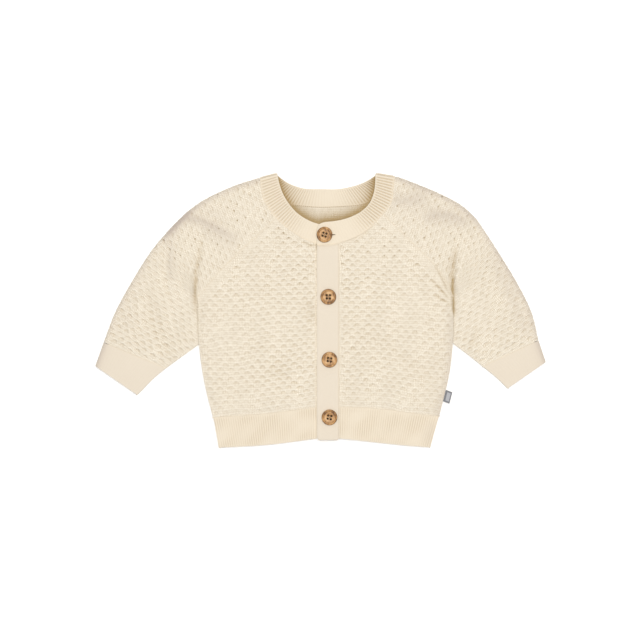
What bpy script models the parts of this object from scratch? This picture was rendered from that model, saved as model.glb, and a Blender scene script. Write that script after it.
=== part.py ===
"""Baby cardigan in honeycomb knit, laid flat on its back and buttoned to the neck.

The front and back panels lie on each other, each a wall of knit of the same thickness. The raglan
sleeves and the cuffs are folded at their outer edge, and the neckband is folded at both shoulders.

+X points to the wearer's left, +Y from the hem to the neck, +Z up from the table. The origin is on the
table, under the middle of the whole outline. The tables below are in millimetres.
"""

import math

import bmesh
import bpy
import numpy as np

MM = 0.001

# Driving dimensions, in millimetres
KNIT = 2.2                # thickness of every knitted wall, over its ribs
SEAM = 0.3                # gap left between two pieces that are sewn together
SEAM_STEP = 1.5 * SEAM    # the same gap, measured along X on a slanting seam
RIB_RISE = 0.5            # how far a rib stands over the groove beside it
BACK_TOP = KNIT           # upper face of the back layer, which lies on the table
LOWEST_TOP = BACK_TOP + SEAM + KNIT   # top of a front layer that lies right on the back layer
LAP_TOP = LOWEST_TOP + SEAM + KNIT    # top of the buttonhole side, which laps over the button side
BODY_TOP = 6.0            # top of the fronts where the knit lies relaxed
SLEEVE_TOP = 6.4          # top of the sleeves where the knit lies relaxed
RAGLAN_TOP = 5.6          # the knit draws in at the raglan seams
RIB_TOP = 5.2             # top of the ribbed pieces
FOLD_RADIUS = RIB_TOP / 2 # the round folds of the sleeves, the cuffs and the neckband
RAGLAN_REACH = 6.0        # how far from an edge the knit starts to draw in: at the raglan seams,
SIDE_REACH = 8.0          # at the side and underarm seams,
RIB_REACH = 7.0           # beside the neckband and the hem,
CUFF_REACH = 12.0         # above the cuffs,
FOLD_REACH = 14.0         # beside the sleeves' folds
BAND_REACH = 22.0         # and where the fronts rise or dip to meet at the middle
NECK_REACH = 28.0         # the same along the neckband
HEM_RIB = 2.3             # rib spacing along the hem
CUFF_RIB = 2.3            # rib spacing round the cuff
NECK_RIB = 2.6            # rib spacing along the middle of the neckband
BAND_LEFT = -3.3          # left and right edges of the two front bands
BAND_RIGHT = 17.6
BAND_TOP = 63.0           # where the front bands meet the neckband
BAND_BOTTOM = -123.0      # lower end of the buttonhole band
BAND_CORNER = 3.0         # radius of its lower corners
UNDER_BAND_SHORT = 2.2    # how much shorter the button band under it is
UNDER_BAND_CORNER = 0.8
RIGHT_END_FROM = -12.0    # the neckband's right front lies low from here to its end
LEFT_END_FROM = 21.0      # and its left front lies over it from here
ARMPIT_ROW = 3.0          # the row of stitches at the middle that runs out to the armpits
BUTTON_HOLE = 0.85        # radius of each of the four holes
HOLE_REACH = 2.2          # from the button's middle to each hole
BUTTON_TURN = 8.0         # degrees that the holes are turned on the sewn button
LABEL_THICKNESS = 0.8

# How many steps of the surface each piece has
SLEEVE_ROWS = (14, 7, 7)  # along the raglan seam, the underarm and the forearm
SLEEVE_ACROSS = 13
SLEEVE_BACK_ACROSS = 4
FRONT_ROWS = (13, 13)     # along the raglan seam and the side seam
FRONT_ACROSS = 16
BACK_ROWS = (8, 8)
BACK_ACROSS = 16
FINE = 80                 # of a line that distances are measured from
TURN_STEPS = 5            # round a fold

# sRGB colours from the knit, the wood and the label
CREAM = "EFE3CB"
CREAM_BAND = "F0E3CF"
WOOD = "C79664"
LABEL_GREY = "8E8F92"

# Lines of the outline and the seams, each from the neck towards the hem or the cuff, or from the
# wearer's right to the wearer's left. Columns: x, y.
LINES = {
    "right_shoulder": [(-58.6, 125.6), (-82, 118), (-107, 106.7), (-124.6, 94.9), (-142, 78.2), (-161, 55.5),
                       (-179, 27), (-194.5, -1.5), (-205.5, -30)],
    "left_shoulder": [(71.4, 126.9), (80.5, 124), (109, 112.5), (131.5, 101), (145, 89.5), (153.5, 78.5),
                      (168.3, 55.7), (185.7, 27.2), (199.8, -1.3), (206.6, -28)],
    "right_raglan": [(-42.3, 87.5), (-80.8, 51.7), (-93.6, 39.3), (-109.7, 20.3), (-116.4, 12.7)],
    "left_raglan": [(59.4, 91.6), (86, 65), (106, 45), (118.8, 28.5), (125.4, 13.5)],
    "right_back_raglan": [(-46.9, 111), (-75, 78), (-100, 42), (-116.4, 12.7)],
    "left_back_raglan": [(58.9, 111), (85, 78), (109, 42), (125.4, 13.5)],
    "right_underarm": [(-116.4, 12.7), (-116.6, -9), (-115.8, -32)],
    "left_underarm": [(125.4, 13.5), (126, -9), (126.2, -31)],
    "right_forearm": [(-115.8, -32), (-136.3, -47.1), (-146.8, -54.7)],
    "left_forearm": [(126.2, -31), (140.1, -42), (154, -53)],
    "right_cuff_fold": [(-205.7, -30.5), (-213.6, -52.7)],
    "left_cuff_fold": [(206.8, -28.5), (213.6, -48.8)],
    "right_cuff_seam": [(-146.8, -54.7), (-158.2, -64.2), (-169.8, -76), (-173.9, -80)],
    "left_cuff_seam": [(154, -53), (167.7, -64.2), (177.4, -73.9)],
    "right_side": [(-116.4, 12.7), (-116.3, -9), (-115.2, -32), (-111.9, -58.5), (-107.2, -81.3),
                   (-101.9, -101.3)],
    "left_side": [(125.4, 13.5), (125.8, -9), (125.4, -31), (122.4, -58.5), (117.2, -81.3), (112.4, -100.3)],
    "right_hem_side": [(-101, -101.6), (-99.3, -111.7), (-96.4, -130.1)],
    "left_hem_side": [(110.6, -100.6), (108.2, -111.7), (104, -129.8)],
    "right_hem_top": [(-101.9, -101.3), (-71.7, -99.4), (-47, -97.3), (-24.2, -94.4), (-3.6, -91.5)],
    "left_hem_top": [(17.9, -91.4), (42.3, -92.2), (64.1, -94), (87.9, -97.5), (112.4, -100.3)],
    "right_hem_bottom": [(-96.4, -130.1), (-50.8, -127.4), (-3.6, -121.5)],
    "left_hem_bottom": [(17.9, -121.2), (73.6, -127.3), (104, -129.8)],
    # the neckband: its neck edge and its seam, on the right front, on the back and on the left front
    "right_neck_edge": [(-40.6, 127.7), (-39.1, 120.6), (-35.6, 110.6), (-29.9, 101.1), (-22.3, 92.5),
                        (-12.5, 86), (-2.8, 82.2), (7, 81), (17.2, 81)],
    "right_neck_seam": [(-57.3, 123.3), (-56.1, 113.8), (-53.7, 103.9), (-48.4, 95.4), (-42.3, 87.5),
                        (-34.7, 80.2), (-25.2, 73.1), (-14.7, 67.3), (-3.6, 63), (7, 62.6), (17.2, 65)],
    "back_neck_edge": [(-40.6, 127.7), (-33.7, 122.5), (-26.1, 118.7), (-14.7, 115.5), (1, 115),
                       (16.6, 115.1), (31.8, 118), (42.8, 122.1), (52, 127.6)],
    "back_neck_seam": [(-57.3, 123.3), (-46.5, 111.5), (-32.8, 102), (-22.3, 99.7), (-0.5, 97.9),
                       (20.4, 98.7), (41.3, 101.1), (58.5, 111.5), (70.4, 124.6)],
    "left_neck_edge": [(52, 127.6), (51.8, 121), (50.5, 111.5), (46.6, 102), (39.4, 94.4), (29.9, 89.1),
                       (20.4, 85.9), (10.9, 84.3), (3.5, 83.5), (-1.5, 81.2), (-3.3, 77)],
    "left_neck_seam": [(70.4, 124.6), (69.1, 116), (68.4, 106.8), (65.9, 100), (59.4, 91.6), (46.6, 77.9),
                       (32.8, 69.2), (18, 63.9), (7.1, 61.9), (-3.3, 61.7)],
}

# Soft creases and swellings that were left when the garment was laid down.
# Columns: what it is, start, middle, end, half-width, rise of its middle.
CREASES = [
    ("right shoulder crease", (-144, 77), (-121, 101), (-82, 68), 5.5, -1.5),
    ("right sleeve head", (-133, 76), (-127, 64), (-124, 46), 9.0, 1.4),
    ("right armpit crease", (-111, 74), (-117, 45), (-117.5, 8), 4.0, -2.2),
    ("right sleeve, long hollow", (-144, 62), (-147, 40), (-143, 18), 5.5, -0.7),
    ("right elbow hollow", (-165, 9), (-150, -14), (-142, -42), 6.0, -1.1),
    ("right elbow swelling", (-178, -3), (-170, -20), (-160, -36), 8.0, 0.7),
    ("right inner swelling", (-131, 8), (-130, -12), (-127, -34), 6.0, 0.7),
    ("left armpit crease", (129.5, 76), (126, 45), (124.5, 8), 4.0, -2.4),
    ("left sleeve head", (140, 84), (142, 66), (139, 44), 9.0, 1.4),
    ("left shoulder crease", (92, 106), (80, 96), (60, 82), 6.0, -1.0),
    ("left shoulder hollow", (104, 98), (124, 89), (146, 93), 6.5, -1.1),
    ("left sleeve, long hollow", (158, 50), (160, 20), (152, -12), 6.5, -0.7),
    ("left forearm crease", (141, -10), (138, -26), (132, -36), 4.0, -0.9),
    ("left elbow swelling", (172, 6), (176, -14), (170, -36), 9.0, 0.7),
    ("hollow under the second button", (28, -22), (62, -34), (102, -66), 7.0, -1.2),
    ("swelling below it", (30, -38), (52, -58), (74, -78), 9.0, 0.9),
    ("short hollow by the band", (30, -50), (30, -66), (35, -88), 5.0, -0.9),
    ("right front, upper hollow", (-24, 12), (-20, -4), (-9, -18), 7.0, -0.8),
    ("right front, lower hollow", (-54, -46), (-42, -58), (-26, -64), 7.0, -0.9),
    ("right front, side swelling", (-106, 0), (-100, -16), (-84, -26), 9.0, 0.6),
    ("right front, low swelling", (-66, -70), (-52, -80), (-34, -84), 9.0, 0.6),
    ("left hem hollow", (80, -103), (86, -112), (88, -124), 7.0, -0.5),
    ("left front, side swelling", (96, 6), (104, -14), (108, -36), 8.0, 0.6),
]

# Four buttons, from the neck down. Columns: x, y.
BUTTONS = [(3.8, 72.3), (7.4, 13.1), (8.5, -46.5), (8.5, -101.1)]

# The turned outside of a button. Columns: radius, height over the button's underside.
BUTTON_PROFILE = [(6.3, 0), (7.3, 0.5), (7.5, 1.5), (7.1, 2.6), (6.2, 3.0), (5.2, 2.9), (4.6, 2.2)]

# The label in the wearer's left side seam, its four corners in turn from the seam. Columns: x, y.
LABEL = [(119.0, -75.4), (125.0, -77.7), (122.2, -88.5), (116.4, -86.2)]


def smooth(points, steps=12):
    """A smooth line through a few points, as an array of many."""
    p = np.array(points, float)
    p = np.vstack([2 * p[0] - p[1], p, 2 * p[-1] - p[-2]])
    t = np.linspace(0, 1, steps, endpoint=False)[:, None]
    spans = []
    for a, b, c, d in zip(p[:-3], p[1:-2], p[2:-1], p[3:]):
        spans.append(b + t * (c - a) / 2 + t ** 2 * (2 * a - 5 * b + 4 * c - d) / 2
                     + t ** 3 * (3 * b - a - 3 * c + d) / 2)
    return np.vstack(spans + [p[-2:-1]])


def spaced(line, count):
    """The line again, as count equal steps."""
    length = np.concatenate([[0], np.cumsum(np.linalg.norm(np.diff(line, axis=0), axis=1))])
    at = np.linspace(0, length[-1], count + 1)
    return np.column_stack([np.interp(at, length, line[:, k]) for k in (0, 1)])


def stretch(line, start, end):
    """The part of a line between the points nearest to start and to end."""
    first = np.argmin(np.linalg.norm(line - start, axis=1))
    last = np.argmin(np.linalg.norm(line - end, axis=1))
    return line[first:last + 1] if last > first else line[last:first + 1][::-1]


def chain(*parts):
    """Lines that follow each other, joined without doubling the points where they meet."""
    return np.vstack([parts[0]] + [part[1:] for part in parts[1:]])


def moved(line, distance):
    """A line moved sideways, to the left of its own direction."""
    along = np.gradient(line, axis=0)
    along /= np.linalg.norm(along, axis=1)[:, None]
    return line + distance * np.column_stack([-along[:, 1], along[:, 0]])


def patch(left, right, top, bottom):
    """A grid of points that fills four edge lines. Left and right run down, top and bottom across."""
    v = np.linspace(0, 1, len(left))[:, None, None]
    u = np.linspace(0, 1, len(top))[None, :, None]
    corners = ((1 - u) * (1 - v) * top[0] + u * (1 - v) * top[-1]
               + (1 - u) * v * bottom[0] + u * v * bottom[-1])
    return ((1 - u) * left[:, None] + u * right[:, None]
            + (1 - v) * top[None] + v * bottom[None] - corners)


def away(grid, line):
    """How far each point of a grid lies from a line."""
    flat = grid.reshape(-1, 2)
    near = [np.min(np.linalg.norm(line - point, axis=1)) for point in flat]
    return np.array(near).reshape(grid.shape[:-1])


def settle(top, distance, level, reach):
    """Brings a surface smoothly to a level over the last stretch before an edge."""
    t = np.clip(distance / reach, 0, 1)
    return level + (top - level) * t * t * (3 - 2 * t)


def creased(grid, level):
    """The height of relaxed knit at each point of a grid, with its creases and swellings."""
    top = np.full(grid.shape[:-1], float(level))
    for _, start, middle, end, half_width, rise in CREASES:
        line = smooth([start, middle, end])
        gap = np.linalg.norm(grid[..., None, :] - line, axis=-1)
        place = 2 * gap.argmin(axis=-1) / (len(line) - 1) - 1
        top += rise * (1 - place ** 4) * np.exp(-(gap.min(axis=-1) / half_width) ** 2)
    return np.maximum(top, LOWEST_TOP)


def raised(grid, top):
    """A grid of plan points lifted to the given heights."""
    return np.dstack([grid, np.broadcast_to(top, grid.shape[:-1])])


def linear(hex_colour):
    """An sRGB colour as the linear values that a material holds."""
    values = [int(hex_colour[k:k + 2], 16) / 255 for k in (0, 2, 4)]
    return [v / 12.92 if v <= 0.04045 else ((v + 0.055) / 1.055) ** 2.4 for v in values] + [1.0]


def finish(item, colour, roughness):
    """Gives an object its own material."""
    material = bpy.data.materials.new(item.name + "_finish")
    material.use_nodes = True
    shader = material.node_tree.nodes["Principled BSDF"]
    shader.inputs["Base Color"].default_value = linear(colour)
    shader.inputs["Roughness"].default_value = roughness
    shader.inputs["Metallic"].default_value = 0.0
    item.data.materials.append(material)


def wall(name, outer, inner, colour=CREAM):
    """A closed wall of knit between two grids of points, its right side and its wrong side."""
    rows, columns = outer.shape[:2]
    points = np.vstack([outer.reshape(-1, 3), inner.reshape(-1, 3)]) * MM
    index = np.arange(rows * columns).reshape(rows, columns)
    under = index + rows * columns
    faces = []
    for i in range(rows - 1):
        for j in range(columns - 1):
            faces.append((index[i, j], index[i + 1, j], index[i + 1, j + 1], index[i, j + 1]))
            faces.append((under[i, j], under[i, j + 1], under[i + 1, j + 1], under[i + 1, j]))
    ring = [(i, 0) for i in range(rows)] + [(rows - 1, j) for j in range(1, columns)]
    ring += [(i, columns - 1) for i in range(rows - 2, -1, -1)] + [(0, j) for j in range(columns - 2, 0, -1)]
    for here, there in zip(ring, ring[1:] + ring[:1]):
        faces.append((index[there], index[here], under[here], under[there]))
    mesh = bpy.data.meshes.new(name)
    mesh.from_pydata(points.tolist(), [], [tuple(int(k) for k in face) for face in faces])
    shell = bmesh.new()
    shell.from_mesh(mesh)
    bmesh.ops.recalc_face_normals(shell, faces=shell.faces)
    shell.to_mesh(mesh)
    shell.free()
    mesh.shade_smooth()
    item = bpy.data.objects.new(name, mesh)
    bpy.context.collection.objects.link(item)
    finish(item, colour, 0.9)
    return item


def ribbed(top, across, rise=RIB_RISE):
    """Lowers every second line of points, so that ribs stand between them."""
    groove = np.arange(top.shape[across]) % 2 == 0
    return top - rise * (groove[None, :] if across == 1 else groove[:, None])


def folded(name, fold, front, back, top, rib_rise=0.0):
    """A panel folded along its outer edge: its front layer, the round turn, and its back layer.

    fold is the outermost line of the turn. front and back are grids whose first column is where the
    turn starts. top holds the front layer's heights.
    """
    radius = top[:, :1] / 2
    outward = (fold - front[:, 0]) / radius
    crest = ribbed(top, 1, rib_rise) if rib_rise else top
    right_side = [raised(front, crest)[:, ::-1]]
    wrong_side = [raised(front, top - KNIT)[:, ::-1]]
    for k in range(1, TURN_STEPS):
        angle = math.pi * k / TURN_STEPS
        for side, reach in ((right_side, radius), (wrong_side, radius - KNIT)):
            place = front[:, 0] + outward * reach * math.sin(angle)
            height = radius + reach * math.cos(angle)
            side.append(np.concatenate([place, height], axis=1)[:, None])
    right_side.append(raised(back, 0.0))
    wrong_side.append(raised(back, KNIT))
    return wall(name, np.concatenate(right_side, axis=1), np.concatenate(wrong_side, axis=1))


def turn_start(fold, toward, radius):
    """Where a folded panel starts to turn: the fold line moved in, square to it at the neck and along
    the seam at the other end."""
    square = moved(fold, 1.0) - fold
    square *= np.sign((square * (toward - fold)).sum(axis=1))[:, None]
    along = (toward - fold) / np.linalg.norm(toward - fold, axis=1)[:, None]
    share = np.linspace(0, 1, len(fold))[:, None]
    inward = (1 - share) * square + share * along
    return fold + radius * inward / np.linalg.norm(inward, axis=1)[:, None]


def curve(name):
    """A smooth line from the table."""
    return smooth(LINES[name])


def sleeve(side):
    """A raglan sleeve, laid flat: one honeycomb panel, folded at the shoulder and the outer arm."""
    seam, back_seam = curve(side + "_neck_seam"), curve("back_neck_seam")
    raglan, back_raglan = curve(side + "_raglan"), curve(side + "_back_raglan")
    underarm, forearm = curve(side + "_underarm"), curve(side + "_forearm")
    arm = chain(spaced(underarm, SLEEVE_ROWS[1]), spaced(forearm, SLEEVE_ROWS[2]))
    front_edge = chain(spaced(raglan, SLEEVE_ROWS[0]), arm)
    back_edge = chain(spaced(back_raglan, SLEEVE_ROWS[0]), arm)
    fold = spaced(curve(side + "_shoulder"), sum(SLEEVE_ROWS))
    start = turn_start(fold, front_edge, FOLD_RADIUS)
    outward = -SEAM if side == "right" else SEAM
    neck = stretch(seam, seam[0], raglan[0])
    front_neck = moved(spaced(neck, SLEEVE_ACROSS), outward)
    back_part = stretch(back_seam, seam[0], back_raglan[0])
    back_neck = moved(spaced(back_part, SLEEVE_BACK_ACROSS), outward)
    front_neck[0] = back_neck[0] = start[0]
    front_edge[0] = front_neck[-1]
    back_edge[0] = back_neck[-1]
    cuff_line = np.array([start[-1], front_edge[-1]])
    front = patch(start, front_edge, front_neck, spaced(cuff_line, SLEEVE_ACROSS))
    back = patch(start, back_edge, back_neck, spaced(cuff_line, SLEEVE_BACK_ACROSS))
    top = creased(front, SLEEVE_TOP)
    top = settle(top, away(front, raglan), RAGLAN_TOP, RAGLAN_REACH)
    top = settle(top, away(front, spaced(arm, FINE)), LOWEST_TOP, SIDE_REACH)
    top = settle(top, away(front, neck), RIB_TOP, RIB_REACH)
    top = settle(top, away(front, spaced(cuff_line, FINE)), RIB_TOP, CUFF_REACH)
    top = settle(top, away(front, spaced(start, FINE)), RIB_TOP, FOLD_REACH)
    return folded("sleeve_" + side, fold, front, back, top)


def cuff(side):
    """A ribbed cuff, folded with its sleeve, its ribs running to the hand."""
    fold = spaced(curve(side + "_cuff_fold"), 2)
    edge = spaced(curve(side + "_cuff_seam"), 2)
    edge[0] += (edge[1] - edge[0]) * 2 * SEAM / np.linalg.norm(edge[1] - edge[0])
    along = edge - fold
    start = fold + FOLD_RADIUS * along / np.linalg.norm(along, axis=1)[:, None]
    ribs = round(np.linalg.norm(edge[1] - start[1]) / CUFF_RIB)
    upper, lower = np.array([start[0], edge[0]]), np.array([start[-1], edge[-1]])
    front = patch(start, edge, spaced(upper, 2 * ribs), spaced(lower, 2 * ribs))
    back = patch(start, edge, spaced(upper, SLEEVE_BACK_ACROSS), spaced(lower, SLEEVE_BACK_ACROSS))
    flat = np.full(front.shape[:-1], RIB_TOP)
    top = settle(flat, away(front, spaced(edge, FINE)), LOWEST_TOP, SIDE_REACH)
    return folded("cuff_" + side, fold, front, back, top, RIB_RISE)


def body_edge(side):
    """The front panel's outer edge: the raglan seam, then the side seam, just clear of the sleeve."""
    edge = chain(spaced(curve(side + "_raglan"), FRONT_ROWS[0]), spaced(curve(side + "_side"), FRONT_ROWS[1]))
    return edge + np.array([SEAM_STEP if side == "right" else -SEAM_STEP, 0.0])


def front(side):
    """A front panel, from the neckband to the hem and from the raglan and side seams to its band."""
    outer = body_edge(side)
    seam, hem = curve(side + "_neck_seam"), curve(side + "_hem_top")
    centre = BAND_LEFT - SEAM if side == "right" else BAND_RIGHT + SEAM
    neck = stretch(seam, LINES[side + "_raglan"][0], (centre, BAND_TOP))
    neck = moved(spaced(neck, FRONT_ACROSS), -SEAM if side == "right" else SEAM)
    neck[0] = outer[0] = (neck[0] + outer[0]) / 2
    neck[-1, 0] = centre
    bottom = spaced(hem if side == "right" else hem[::-1], FRONT_ACROSS) + np.array([0.0, SEAM])
    bottom[0] = outer[-1]
    bottom[-1, 0] = centre
    middle = np.array([centre, ARMPIT_ROW])
    inner = chain(spaced(np.array([neck[-1], middle]), FRONT_ROWS[0]),
                  spaced(np.array([middle, bottom[-1]]), FRONT_ROWS[1]))
    grid = patch(outer, inner, neck, bottom)
    corner = FRONT_ROWS[0]
    top = creased(grid, BODY_TOP)
    top = settle(top, away(grid, spaced(outer[:corner + 1], FINE)), RAGLAN_TOP, RAGLAN_REACH)
    top = settle(top, away(grid, spaced(outer[corner:], FINE)), LOWEST_TOP, SIDE_REACH)
    top = settle(top, away(grid, spaced(neck, FINE)), RIB_TOP, RIB_REACH)
    top = settle(top, away(grid, spaced(bottom, FINE)), RIB_TOP, RIB_REACH)
    top = settle(top, abs(grid[..., 0] - centre), LOWEST_TOP if side == "right" else LAP_TOP, BAND_REACH)
    return wall("front_" + side, raised(grid, top), raised(grid, top - KNIT))


def hem_front(side):
    """The ribbed hem of one front, its ribs running down."""
    hem_top, hem_bottom = curve(side + "_hem_top"), curve(side + "_hem_bottom")
    if side == "left":
        hem_top, hem_bottom = hem_top[::-1], hem_bottom[::-1]
    ribs = round(np.linalg.norm(hem_top[0] - hem_top[-1]) / HEM_RIB)
    outer = spaced(curve(side + "_hem_side"), 2)
    upper = spaced(hem_top, 2 * ribs) - np.array([0.0, SEAM])
    upper[0] = outer[0]
    lower = spaced(hem_bottom, 2 * ribs)
    inner = spaced(np.array([upper[-1], lower[-1]]), 2)
    grid = patch(outer, inner, upper, lower)
    top = np.full(grid.shape[:-1], RIB_TOP)
    top = settle(top, away(grid, spaced(outer, FINE)), LOWEST_TOP, SIDE_REACH)
    band_top = LOWEST_TOP if side == "right" else LAP_TOP
    top = settle(top, abs(grid[..., 0] - inner[0, 0]), band_top, BAND_REACH)
    return wall("hem_front_" + side, raised(grid, ribbed(top, 1)), raised(grid, top - KNIT))


def back():
    """The back panel, flat on the table under the fronts."""
    edges = []
    for side, inward in (("right", SEAM_STEP), ("left", -SEAM_STEP)):
        raglan, seam = curve(side + "_back_raglan"), curve(side + "_side")
        edge = chain(spaced(raglan, BACK_ROWS[0]), spaced(seam, BACK_ROWS[1]))
        edges.append(edge + np.array([inward, 0.0]))
    neck_seam = curve("back_neck_seam")
    part = stretch(neck_seam, LINES["right_back_raglan"][0], LINES["left_back_raglan"][0])
    neck = moved(spaced(part, BACK_ACROSS), -SEAM)
    neck[0], neck[-1] = edges[0][0], edges[1][0]
    hem_top = chain(curve("right_hem_top"), curve("left_hem_top"))
    bottom = spaced(hem_top, BACK_ACROSS) + np.array([0.0, SEAM])
    bottom[0], bottom[-1] = edges[0][-1], edges[1][-1]
    grid = patch(edges[0], edges[1], neck, bottom)
    return wall("back", raised(grid, BACK_TOP), raised(grid, 0.0))


def hem_back():
    """The ribbed hem of the back, flat on the table, a little shorter than the fronts' hems."""
    hem_top = chain(curve("right_hem_top"), curve("left_hem_top"))
    hem_bottom = chain(curve("right_hem_bottom"), curve("left_hem_bottom"))
    upper = spaced(hem_top, BACK_ACROSS) - np.array([0.0, SEAM])
    lower = spaced(hem_bottom, BACK_ACROSS) + np.array([0.0, 2 * SEAM])
    sides = [spaced(curve(side + "_hem_side"), 2) for side in ("right", "left")]
    upper[0], upper[-1] = sides[0][0], sides[1][0]
    lower[0], lower[-1] = sides[0][-1], sides[1][-1]
    grid = patch(sides[0], sides[1], upper, lower)
    return wall("hem_back", raised(grid, BACK_TOP), raised(grid, 0.0))


def neck_part(part):
    """The neckband's stations on one part: neck edge, seam edge and height of each, in ribs and grooves."""
    edge, seam = curve(part + "_neck_edge"), curve(part + "_neck_seam")
    lengths = [np.linalg.norm(np.diff(side, axis=0), axis=1).sum() for side in (edge, seam)]
    count = 2 * round(sum(lengths) / 2 / NECK_RIB)
    edge, seam = spaced(edge, count), spaced(seam, count)
    middles = (edge[:, 0] + seam[:, 0]) / 2
    level = np.full(count + 1, RIB_TOP)
    if part == "right":
        level = settle(level, np.maximum(RIGHT_END_FROM - middles, 0), LOWEST_TOP, NECK_REACH)
    if part == "left":
        level = settle(level, np.maximum(middles - LEFT_END_FROM, 0), LAP_TOP, NECK_REACH)
    return edge, seam, level


def neckband():
    """One ribbed strip round the neck, folded at both shoulders, its ends lapped at the front."""
    right = [values[::-1] for values in neck_part("right")]
    behind, left = neck_part("back"), neck_part("left")
    turn = [math.pi * k / TURN_STEPS for k in range(1, TURN_STEPS)]
    stations = [(edge, seam, level, 0.0) for edge, seam, level in zip(*right)]
    stations += [(behind[0][0], behind[1][0], RIB_TOP, angle) for angle in turn]
    stations += [(edge, seam, level, math.pi) for edge, seam, level in zip(*behind)]
    stations += [(behind[0][-1], behind[1][-1], RIB_TOP, angle) for angle in turn[::-1]]
    stations += [(edge, seam, level, 0.0) for edge, seam, level in zip(*left)]
    right_side, wrong_side = [], []
    for k, (edge, seam, level, angle) in enumerate(stations):
        across = (seam - edge) / np.linalg.norm(seam - edge)
        outward = np.array([across[1], -across[0]]) * (1 if edge[0] < seam[0] else -1)
        outward *= np.sign(outward[1])
        groove = RIB_RISE * (k % 2)
        in_front = (1 + math.cos(angle)) / 2
        radius = level / 2
        for points, reach in ((right_side, radius - groove * in_front),
                              (wrong_side, radius - KNIT + groove * (1 - in_front))):
            shift = outward * reach * math.sin(angle)
            height = radius + reach * math.cos(angle)
            points.append([(*(edge + shift), height), (*(seam + shift), height)])
    return wall("neckband", np.array(right_side), np.array(wrong_side))


def band(name, bottom, corner, top_line, top, steps=12):
    """A front band of plain knit, from the neckband down to its lower end."""
    turn = np.linspace(0, math.pi / 2, 4)[:, None]
    arc = corner * np.hstack([1 - np.cos(turn), 1 - np.sin(turn)])
    left_end = np.array([BAND_LEFT, bottom]) + arc
    right_end = np.array([BAND_RIGHT, bottom]) + arc * (-1, 1)
    left = chain(spaced(np.array([top_line[0], left_end[0]]), steps), left_end)
    right = chain(spaced(np.array([top_line[-1], right_end[0]]), steps), right_end)
    lower = spaced(np.array([left[-1], right[-1]]), len(top_line) - 1)
    grid = patch(left, right, top_line, lower)
    return wall(name, raised(grid, top), raised(grid, top - KNIT), CREAM_BAND)


def front_bands():
    """The button band on the wearer's right front, and the buttonhole band that laps over it."""
    for name, side, bottom, corner, top in (
            ("button_band", "right", BAND_BOTTOM + UNDER_BAND_SHORT, UNDER_BAND_CORNER, LOWEST_TOP),
            ("buttonhole_band", "left", BAND_BOTTOM, BAND_CORNER, LAP_TOP)):
        seam = curve(side + "_neck_seam")
        part = spaced(stretch(seam, (BAND_LEFT, BAND_TOP), (BAND_RIGHT, BAND_TOP)), 6)
        part = part[np.argsort(part[:, 0])] - np.array([0.0, SEAM])
        part[0, 0], part[-1, 0] = BAND_LEFT, BAND_RIGHT
        band(name, bottom, corner, part, top)


def side_label():
    """A small folded tab, caught in the wearer's left side seam."""
    upper_seam, upper_end, lower_end, lower_seam = np.array(LABEL, float)
    grid = np.array([[upper_seam, upper_end], [lower_seam, lower_end]])
    low = BACK_TOP + SEAM
    return wall("side_label", raised(grid, low + LABEL_THICKNESS), raised(grid, low), LABEL_GREY)


def hole_cutter(name, place, low, high):
    """An upright cylinder that cuts one hole."""
    bpy.ops.mesh.primitive_cylinder_add(vertices=8, radius=BUTTON_HOLE * MM, depth=(high - low) * MM,
                                        location=(place[0] * MM, place[1] * MM, (low + high) / 2 * MM))
    cutter = bpy.context.object
    cutter.name = name
    cutter.hide_render = True
    cutter.display_type = "WIRE"
    return cutter


def button(number, place, sides=24):
    """A turned wooden button with a raised rim, a dished middle and four holes."""
    base = LAP_TOP + SEAM
    angles = [2 * math.pi * k / sides for k in range(sides)]
    points = [(place[0], place[1], base)]
    for radius, height in BUTTON_PROFILE:
        points += [(place[0] + radius * math.cos(a), place[1] + radius * math.sin(a), base + height)
                   for a in angles]
    dish = BUTTON_PROFILE[-1][1]
    points.append((place[0], place[1], base + dish))
    faces = []
    for k in range(sides):
        after = (k + 1) % sides
        faces.append((0, 1 + after, 1 + k))
        for low in range(1, len(points) - sides - 1, sides):
            faces.append((low + k, low + after, low + sides + after, low + sides + k))
        last = len(points) - 1 - sides
        faces.append((last + k, last + after, len(points) - 1))
    mesh = bpy.data.meshes.new("button")
    mesh.from_pydata([tuple(value * MM for value in point) for point in points], [], faces)
    item = bpy.data.objects.new("button_%d" % number, mesh)
    bpy.context.collection.objects.link(item)
    finish(item, WOOD, 0.5)
    for k in range(4):
        angle = math.radians(BUTTON_TURN) + math.pi * (k + 0.5) / 2
        hole = (place[0] + HOLE_REACH * math.cos(angle), place[1] + HOLE_REACH * math.sin(angle))
        cut = item.modifiers.new("hole_%d" % k, "BOOLEAN")
        cut.object = hole_cutter("cutter_%d_%d" % (number, k), hole, base - 1, base + dish + 1)
    mesh.shade_smooth()
    mesh.set_sharp_from_angle(angle=math.radians(40))
    return item


def build():
    """Clears the scene and makes every piece."""
    for item in list(bpy.data.objects):
        bpy.data.objects.remove(item, do_unlink=True)
    back()
    hem_back()
    for side in ("right", "left"):
        front(side)
        hem_front(side)
        sleeve(side)
        cuff(side)
    neckband()
    front_bands()
    for number, place in enumerate(BUTTONS, 1):
        button(number, place)
    side_label()


build()
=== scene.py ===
# %% [markdown]
# # A baby cardigan in honeycomb knit, laid flat
# The cardigan lies on its back, buttoned up, and is seen from straight above. Its construction model
# gives every piece as a plain solid. This script dresses each of them: thin shells of knit with real
# relief, wooden buttons, sewing and a label. It starts by loading that model as a fixed frame.

# %% Load the frame
import math

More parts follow.
